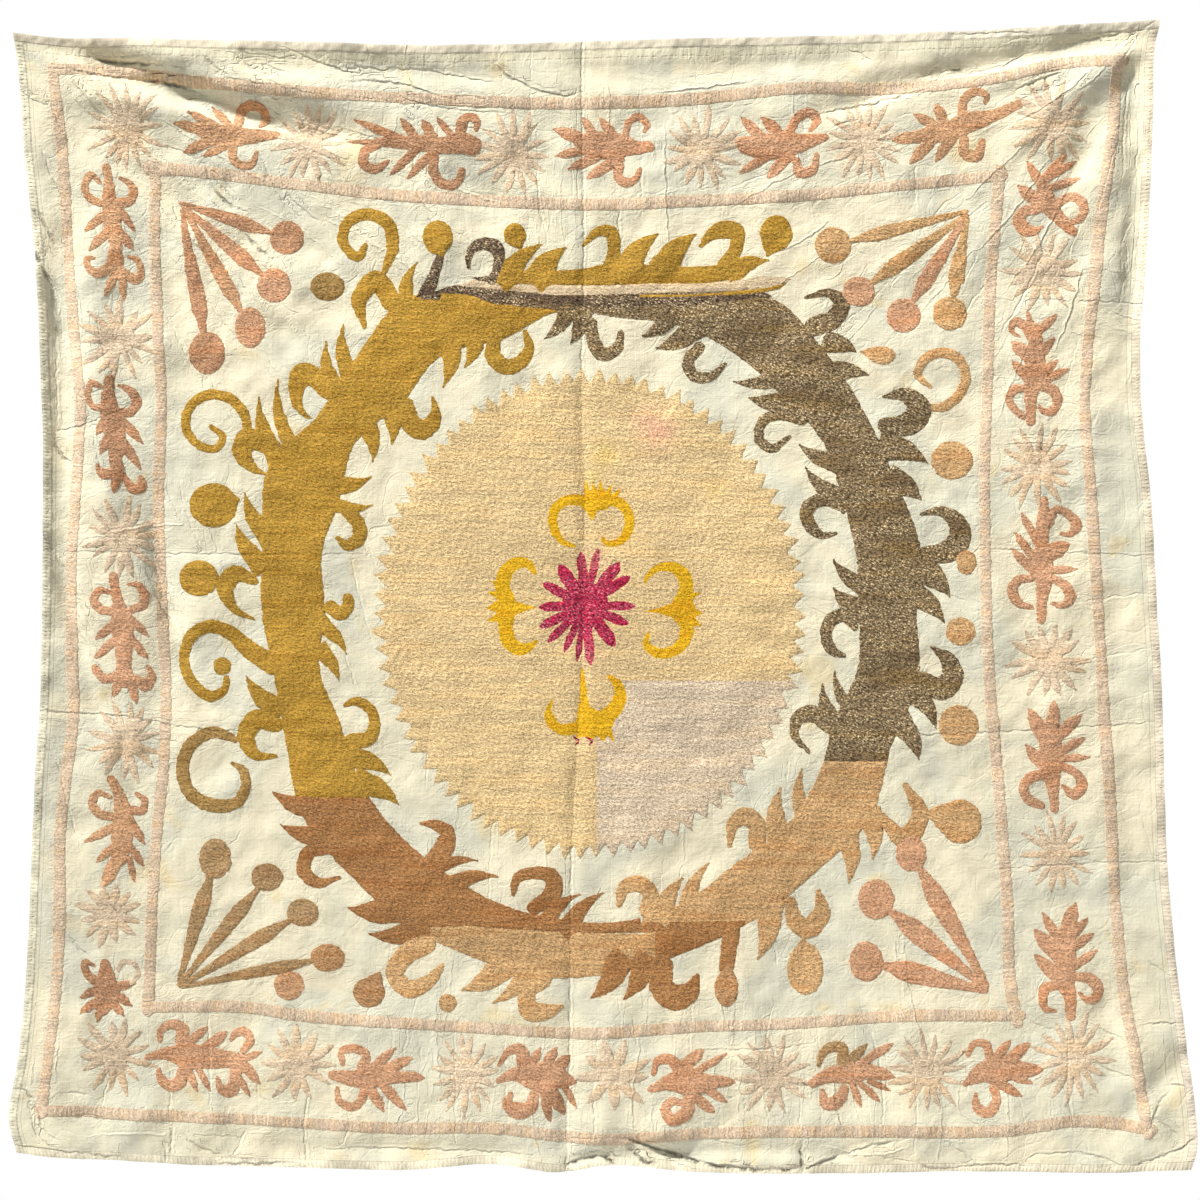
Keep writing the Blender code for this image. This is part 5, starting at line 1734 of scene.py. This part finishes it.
def thread_material(name, fleck, fleck_colour, tint, roughness, soft):
    """Laid thread whose dye comes from the piece's own colours."""
    made, tree, shader = start_material(name, 0.8, 0.05)
    uv = flat_drawing(tree)
    dye, reverse = stored(tree, "dye")[0], stored(tree, "reverse")[2]
    worked = shaken(uv, 70.0, 0.0, (0.0030, 0.0045))
    slanting = add_node(tree, "ShaderNodeVectorRotate", {"Vector": worked, "Angle": TICK_TURN},
                        rotation_type="Z_AXIS")[0]
    # long streaks and rows of laid thread, slanting ticks of its twist, fine grain
    streaks = noise(worked, 210.0, 2.0, (0.06, 1.0))
    bands = noise(uv, 46.0, 2.0, (0.10, 1.0))
    rows = wave(worked, "Y", ROWS_PER_METRE, times(bands, ROW_WANDER))
    ticks = noise(slanting, 340.0, 1.0, (0.42, 1.0))
    grain = noise(worked, 520.0, 1.0, (0.7, 1.0))
    # bright starts as the painted shade of the creases and the painted light at the top
    relief, bright, outline = cloth_relief(tree)
    for value, amount in ((rows, 0.08), (streaks, 0.6), (bands, 0.42), (ticks, roughness),
                          (grain, 0.7 * roughness), (noise(uv, 7.0, 3.0), 0.28)):
        bright = times(bright, times_plus(value, amount, 1.0 - amount / 2))
    # painted shade: the colour is made a little darker along the outlines of the shapes
    edge = times(outline, outline)
    bright = times(bright, times_plus(edge, -0.10, 1.0))
    tinted = blend_colour(spread(bands, 0.50, 0.66), WHITE, tint)
    colour = blend_colour(1.0, dye, tinted, "MULTIPLY")
    # flecks of the second fibre, thick in some places and absent in others
    dotted = vector_math("MULTIPLY", slanting, (0.70, 1.15, 1.0))
    dots = add_node(tree, "ShaderNodeTexVoronoi", voronoi_dimensions="2D", inputs={
        "Vector": dotted, "Scale": 265.0, "Randomness": 0.85})
    some = times(spread(parts_of(dots[1])[0], 0.10, 0.40),
                 spread(noise(uv, 30.0, 1.0, (0.3, 1.0)), 0.30, 0.55))
    dot = times(spread(dots[0], 0.20, 0.48, 1.0, 0.0), some)
    colour = blend_colour(times(dot, fleck), colour, fleck_colour)
    # behind, only small stitches of the dye show on the cotton
    patchy = spread(noise(worked, 260.0, 1.0, (0.4, 1.4)), 0.52, 0.60)
    behind = blend_colour(times(patchy, 0.7), COTTON_COLOUR, dye)
    colour = blend_colour(reverse, scaled(colour, bright), behind)
    height = times(rows, 0.12)
    for value, amount in ((streaks, 0.3), (ticks, 2.1 * roughness), (grain, 0.5 * roughness),
                          (dot, 0.3), (edge, -0.28), (relief, soft)):
        height = times_plus(value, amount, height)
    finish_surface(shader, colour, height)
    return made


for thread, look in THREADS.items():
    stitching[thread].data.materials.append(thread_material(f"{thread}_thread", *look))
print(len(THREADS), "thread materials")

# %% [markdown]
# ## Cotton and edging
# The ground is a plain weave that has yellowed unevenly, with grey patches that are
# partly painted shade. It shows three sizes of detail: the weave itself, crumples
# and creases, and gathers next to the stitching, which the cover map brings in
# through the piece's colours.

# %% Cotton ground
COTTON_WARM = (0.83, 0.75, 0.535, 1.0)
# grey of patches that are partly uneven age and partly painted shade
COTTON_GREY_AND_PAINTED_SHADE = (0.72, 0.69, 0.53, 1.0)
COTTON_STAIN = (0.80, 0.64, 0.34, 1.0)
WEAVE_PER_METRE = 262.0
TOP_HEM, SIDE_HEM = 0.028, 0.021
HEM_COLOUR = (0.76, 0.70, 0.50, 1.0)


def cotton_material():
    """Plain-woven cotton with crumples, gathers, uneven age, and grey patches partly painted
    shade.
    """
    made, tree, shader = start_material("plain_cotton", 0.88, 0.12)
    uv = flat_drawing(tree)
    pull, from_top, from_side = parts_of(stored(tree, "dye")[0])
    # weave: two sets of bands that waver with the slubs of the yarn
    slub_across = noise(uv, 60.0, 2.0, (0.25, 7.0))
    slub_down = noise(uv, 60.0, 2.0, (7.0, 0.25))
    cloth = number("ADD", wave(uv, "X", WEAVE_PER_METRE, times(slub_down, 3.0)),
                   wave(uv, "Y", WEAVE_PER_METRE, times(slub_across, 3.0)))
    slubs = number("ADD", slub_across, slub_down)
    gathers = noise(uv, 62.0, 3.0, (0.8, 1.3), 1.2, 0.64)
    gathers = times(gathers, number("ADD", pull, 0.35))
    # age and painted shade: yellowed and grey areas, the grey partly painted shade and strongest
    # beside the stitching, and a few stains
    yellowing_and_painted_shade = spread(noise(uv, 4.5, 3.0, distortion=0.8), 0.38, 0.66)
    colour = blend_colour(yellowing_and_painted_shade, COTTON_WARM, COTTON_GREY_AND_PAINTED_SHADE)
    greying_and_painted_shade = spread(noise(uv, 24.0, 3.0, distortion=1.2), 0.48, 0.75, 0.0, 0.5)
    colour = blend_colour(times(greying_and_painted_shade, pull), colour, COTTON_GREY_AND_PAINTED_SHADE)
    stains = spread(noise(uv, 9.0, distortion=0.3), 0.66, 0.78, 0.0, 0.55)
    colour = blend_colour(stains, colour, COTTON_STAIN)
    # hems: a sewn line, the folded strip above it and the puckers below
    below = number("ADD", from_top, times_plus(noise(uv, 26.0), 0.004, -0.002))
    sewn = number("ABSOLUTE", number("SUBTRACT", below, TOP_HEM))
    gaps = spread(noise(uv, 120.0, 1.0, (1.0, 0.05)), 0.40, 0.56)
    sewn = times(spread(sewn, 0.0004, 0.0020, 0.6, 0.0), gaps)
    in_hem = spread(below, TOP_HEM, TOP_HEM + 0.004, 1.0, 0.0)
    colour = blend_colour(times(in_hem, 0.75), colour, HEM_COLOUR)
    near_hem = spread(below, TOP_HEM + 0.002, TOP_HEM + 0.016, 1.0, 0.12)
    puckers = times(noise(uv, 95.0, 3.0, (1.0, 0.30), 0.6), near_hem)
    side_line = number("ABSOLUTE", number("SUBTRACT", from_side, SIDE_HEM))
    sewn = number("MAXIMUM", sewn, spread(side_line, 0.0004, 0.0016, 0.4, 0.0))
    height, shade, _ = cloth_relief(tree)
    bright = times(times_plus(slubs, 0.16, 0.84), times_plus(sewn, -0.25, 1.0))
    # the painted shade of the creases and the painted light at the top come into the colour here
    bright = times(times_plus(cloth, 0.035, bright), shade)
    for value, amount in ((cloth, 0.014), (gathers, 1.9), (slubs, 0.16), (puckers, 1.6),
                          (sewn, -0.6)):
        height = times_plus(value, amount, height)
    finish_surface(shader, scaled(colour, bright), height)
    return made


cotton = cotton_material()
for piece in (cotton_left, cotton_right):
    piece.data.materials.append(cotton)
print("cotton has", len(cotton.node_tree.nodes), "nodes")

# %% Edging threads
# side: colour at its start, colour at its end
EDGING_DYES = {
    "top": ((0.82, 0.73, 0.54, 1.0), (0.86, 0.78, 0.60, 1.0)),
    "bottom": ((0.78, 0.71, 0.53, 1.0), (0.80, 0.72, 0.53, 1.0)),
    "left": ((0.84, 0.78, 0.58, 1.0), (0.80, 0.75, 0.56, 1.0)),
    "right": ((0.84, 0.74, 0.54, 1.0), (0.79, 0.69, 0.54, 1.0)),
}


def edging_material(side):
    """Overcast thread: ribs across the strip, and a dark line where it is sewn."""
    made, tree, shader = start_material(f"edging_{side}_thread", 0.85, 0.15)
    uv = flat_drawing(tree)
    ribs = wave(uv, "X", 49.0, Distortion=2.6, Detail=2.0, Detail_Scale=1.4)
    ribs = times(ribs, 0.25 if side == "top" else 1.0)
    sewn = number("SUBTRACT", parts_of(uv)[1], EDGING_WIDTH * 0.93)
    sewn = spread(number("ABSOLUTE", sewn), 0.0, 0.0012)
    patches = spread(noise(uv, 16.0, 3.0, distortion=0.5), 0.35, 0.65, 0.80, 1.12)
    streaks = noise(uv, 260.0, 2.0, (2.2, 0.4))
    relief, shade, _ = cloth_relief(tree)
    # the painted shade of the creases and the painted light at the top come into the colour here
    bright = times(shade, patches)
    for value, amount, least in ((ribs, 0.12, 0.92), (sewn, 0.3, 0.7), (streaks, 0.5, 0.78)):
        bright = times(bright, times_plus(value, amount, least))
    height = times_plus(streaks, 0.5, times_plus(sewn, 0.8, ribs))
    colour = blend_colour(stored(tree, "dye")[2], *EDGING_DYES[side])
    finish_surface(shader, scaled(colour, bright), times_plus(height, 0.28, relief))
    return made


for side, piece in edging.items():
    piece.data.materials.append(edging_material(side))


def sewing_thread(name, colour):
    """Thin cotton thread with a twist."""
    made, tree, shader = start_material(name, 0.8, 0.2, specular=0.5)
    place = add_node(tree, "ShaderNodeTexCoord")["Object"]
    fade = spread(noise(place, 30.0, size="3D"), 0.3, 0.7, 0.75, 1.15)
    twist = noise(place, 1500.0, 1.0, (1.0, 1.0, 0.4), size="3D")
    bright = times(fade, times_plus(twist, 0.4, 0.8))
    finish_surface(shader, scaled(colour, bright), times(twist, 0.1))
    return made


edging_thread = sewing_thread("overcasting_thread", (0.84, 0.76, 0.57))
seam_thread = sewing_thread("seam_thread", (0.62, 0.54, 0.38))

# %% Rows of overcasting and the middle seam
OVERCAST_PITCH = 0.0066
OVERCAST_LIFT = 0.0007
SEAM_PITCH = 0.009
SEAM_LIFT = 0.0003


def edging_points(side, generator):
    """Where the stitches of one strip sit, and how they are turned."""
    count = int(CLOTH_HEIGHT / OVERCAST_PITCH)
    along = (np.arange(count) + 0.5 + generator.uniform(-0.22, 0.22, count)) / count
    x, z = edging_place(side, along, np.full(count, 0.34))
    x_in, z_in = edging_place(side, along, np.full(count, 0.70))
    points, normals = cloth_frame(x, z)
    inner, _ = cloth_frame(x_in, z_in)
    across = inner - points
    across /= np.linalg.norm(across, axis=1)[:, None]
    return points + normals * OVERCAST_LIFT, normals, across


generator = np.random.default_rng(STITCH_SEED)
rows = [edging_points(side, generator) for side in ("bottom", "left", "right")]
overcasting = stitched_row(
    "overcasting", *(np.concatenate(part) for part in zip(*rows)),
    stitch_tree("overcasting_stitch", edging_thread),
    {"Reach": 0.0066, "Rise": 0.0009, "Slant": 0.0020, "Thread radius": 0.00040,
     "Uneven": 0.35},
)
count = int(CLOTH_HEIGHT * 0.97 / SEAM_PITCH)
down = 0.012 + 0.976 * (np.arange(count) + generator.uniform(0.2, 0.8, count)) / count
x, z = cloth_outline(smooth_through(SEAM_LINE, down)[..., 0], down)
points, out = cloth_frame(x, z)
across = np.tile((1.0, 0.0, 0.0), (count, 1))
seam_stitches = stitched_row(
    "seam_stitches", points + out * SEAM_LIFT, out, across,
    stitch_tree("seam_stitch", seam_thread),
    {"Reach": 0.0034, "Rise": 0.0005, "Slant": 0.0012, "Thread radius": 0.0003,
     "Uneven": 0.25},
)
print(len(overcasting.data.polygons), "faces of overcasting and",
      len(seam_stitches.data.polygons), "on the seam")

# %% [markdown]
# ## Light, floor and background
# Relief in a flat cloth only shows when light grazes it, so one soft lamp stands
# high on the left. A weaker one behind keeps the back of the cloth readable. The
# surroundings are pale, and brightest behind the cloth.

# %% Lamps and surroundings
KEY_STRENGTH = 5.6
KEY_FROM = (-0.52, -0.38, 0.76)
BACK_STRENGTH = 1.6
BACK_FROM = (0.5, 0.75, 0.5)
ROOM_LIGHT = 0.22
FLOOR_Z, FLOOR_REACH = -3.2, 2.4


def lamp(name, origin, strength, softness):
    """A distant soft lamp that shines from a direction."""
    data = bpy.data.lights.new(name, "SUN")
    data.energy, data.angle = strength, math.radians(softness)
    made = put_in_scene(name, data)
    heading = np.array(origin) / np.linalg.norm(origin)
    level = math.hypot(heading[0], heading[1])
    made.rotation_euler = (math.atan2(level, heading[2]), 0,
                           math.atan2(heading[0], -heading[1]))
    made.location = heading * 3


lamp("key", KEY_FROM, KEY_STRENGTH, 4)
lamp("back", BACK_FROM, BACK_STRENGTH, 20)
world = bpy.data.worlds.new("studio")
world.use_nodes = True
bpy.context.scene.world = world
tree = world.node_tree
heading = add_node(tree, "ShaderNodeTexCoord")["Generated"]
behind = add_node(tree, "ShaderNodeVectorMath", {0: heading, 1: (0.0, 1.0, 0.0)},
                  operation="DOT_PRODUCT")["Value"]
glow = spread(behind, 0.86, 0.95, ROOM_LIGHT, 1.0)
background = tree.nodes["Background"]
background.inputs["Color"].default_value = WHITE
tree.links.new(glow, background.inputs["Strength"])

floor_mesh = bpy.data.meshes.new("floor")
floor_corners = [(x * FLOOR_REACH, y * FLOOR_REACH, FLOOR_Z)
                 for x, y in ((-1, -1), (1, -1), (1, 1), (-1, 1))]
floor_mesh.from_pydata(floor_corners, [], [(0, 1, 2, 3)])
floor = put_in_scene("floor", floor_mesh)
floor_look, tree, shader = start_material("pale_floor", 0.9, 0.0, specular=0.5)
place = add_node(tree, "ShaderNodeTexCoord")["Object"]
mottle = spread(noise(place, 2.0, 4.0), 0.3, 0.7, 0.78, 0.84)
tree.links.new(mottle, shader.inputs["Base Color"])
floor_mesh.materials.append(floor_look)

# %% [markdown]
# ## Joining the pieces to the solids
# Every visible piece rides on the one body of the cloth. The two lengths of
# cotton and the four strips of edging stand for the solids of the same places,
# and the stitching lies on them.

# %% Bodies, solids that are replaced, finish names that are only listed, and the cut sizes
NODE_OF = {cotton_left: "panel_left", cotton_right: "panel_right"}
NODE_OF.update({piece: f"edging_{side}" for side, piece in edging.items()})
SLOT_OF = {cotton_left: "ground_cotton", cotton_right: "ground_cotton"}
SLOT_OF.update({piece: f"thread_{thread}" for thread, piece in stitching.items()})
for side, piece in edging.items():
    SLOT_OF[piece] = "edging_peach" if side in ("top", "bottom") else "edging_lilac"
SLOT_OF[overcasting] = "edging_peach"
SLOT_OF[seam_stitches] = "ground_cotton"
for piece, name in SLOT_OF.items():
    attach(piece, "root")
for piece, node in NODE_OF.items():
    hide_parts(node)

pieces = list(SLOT_OF)
triangles = {piece.name: len(piece.data.loop_triangles) for piece in pieces
             if not piece.data.calc_loop_triangles()}
print("triangles:", triangles, "in all", sum(triangles.values()))
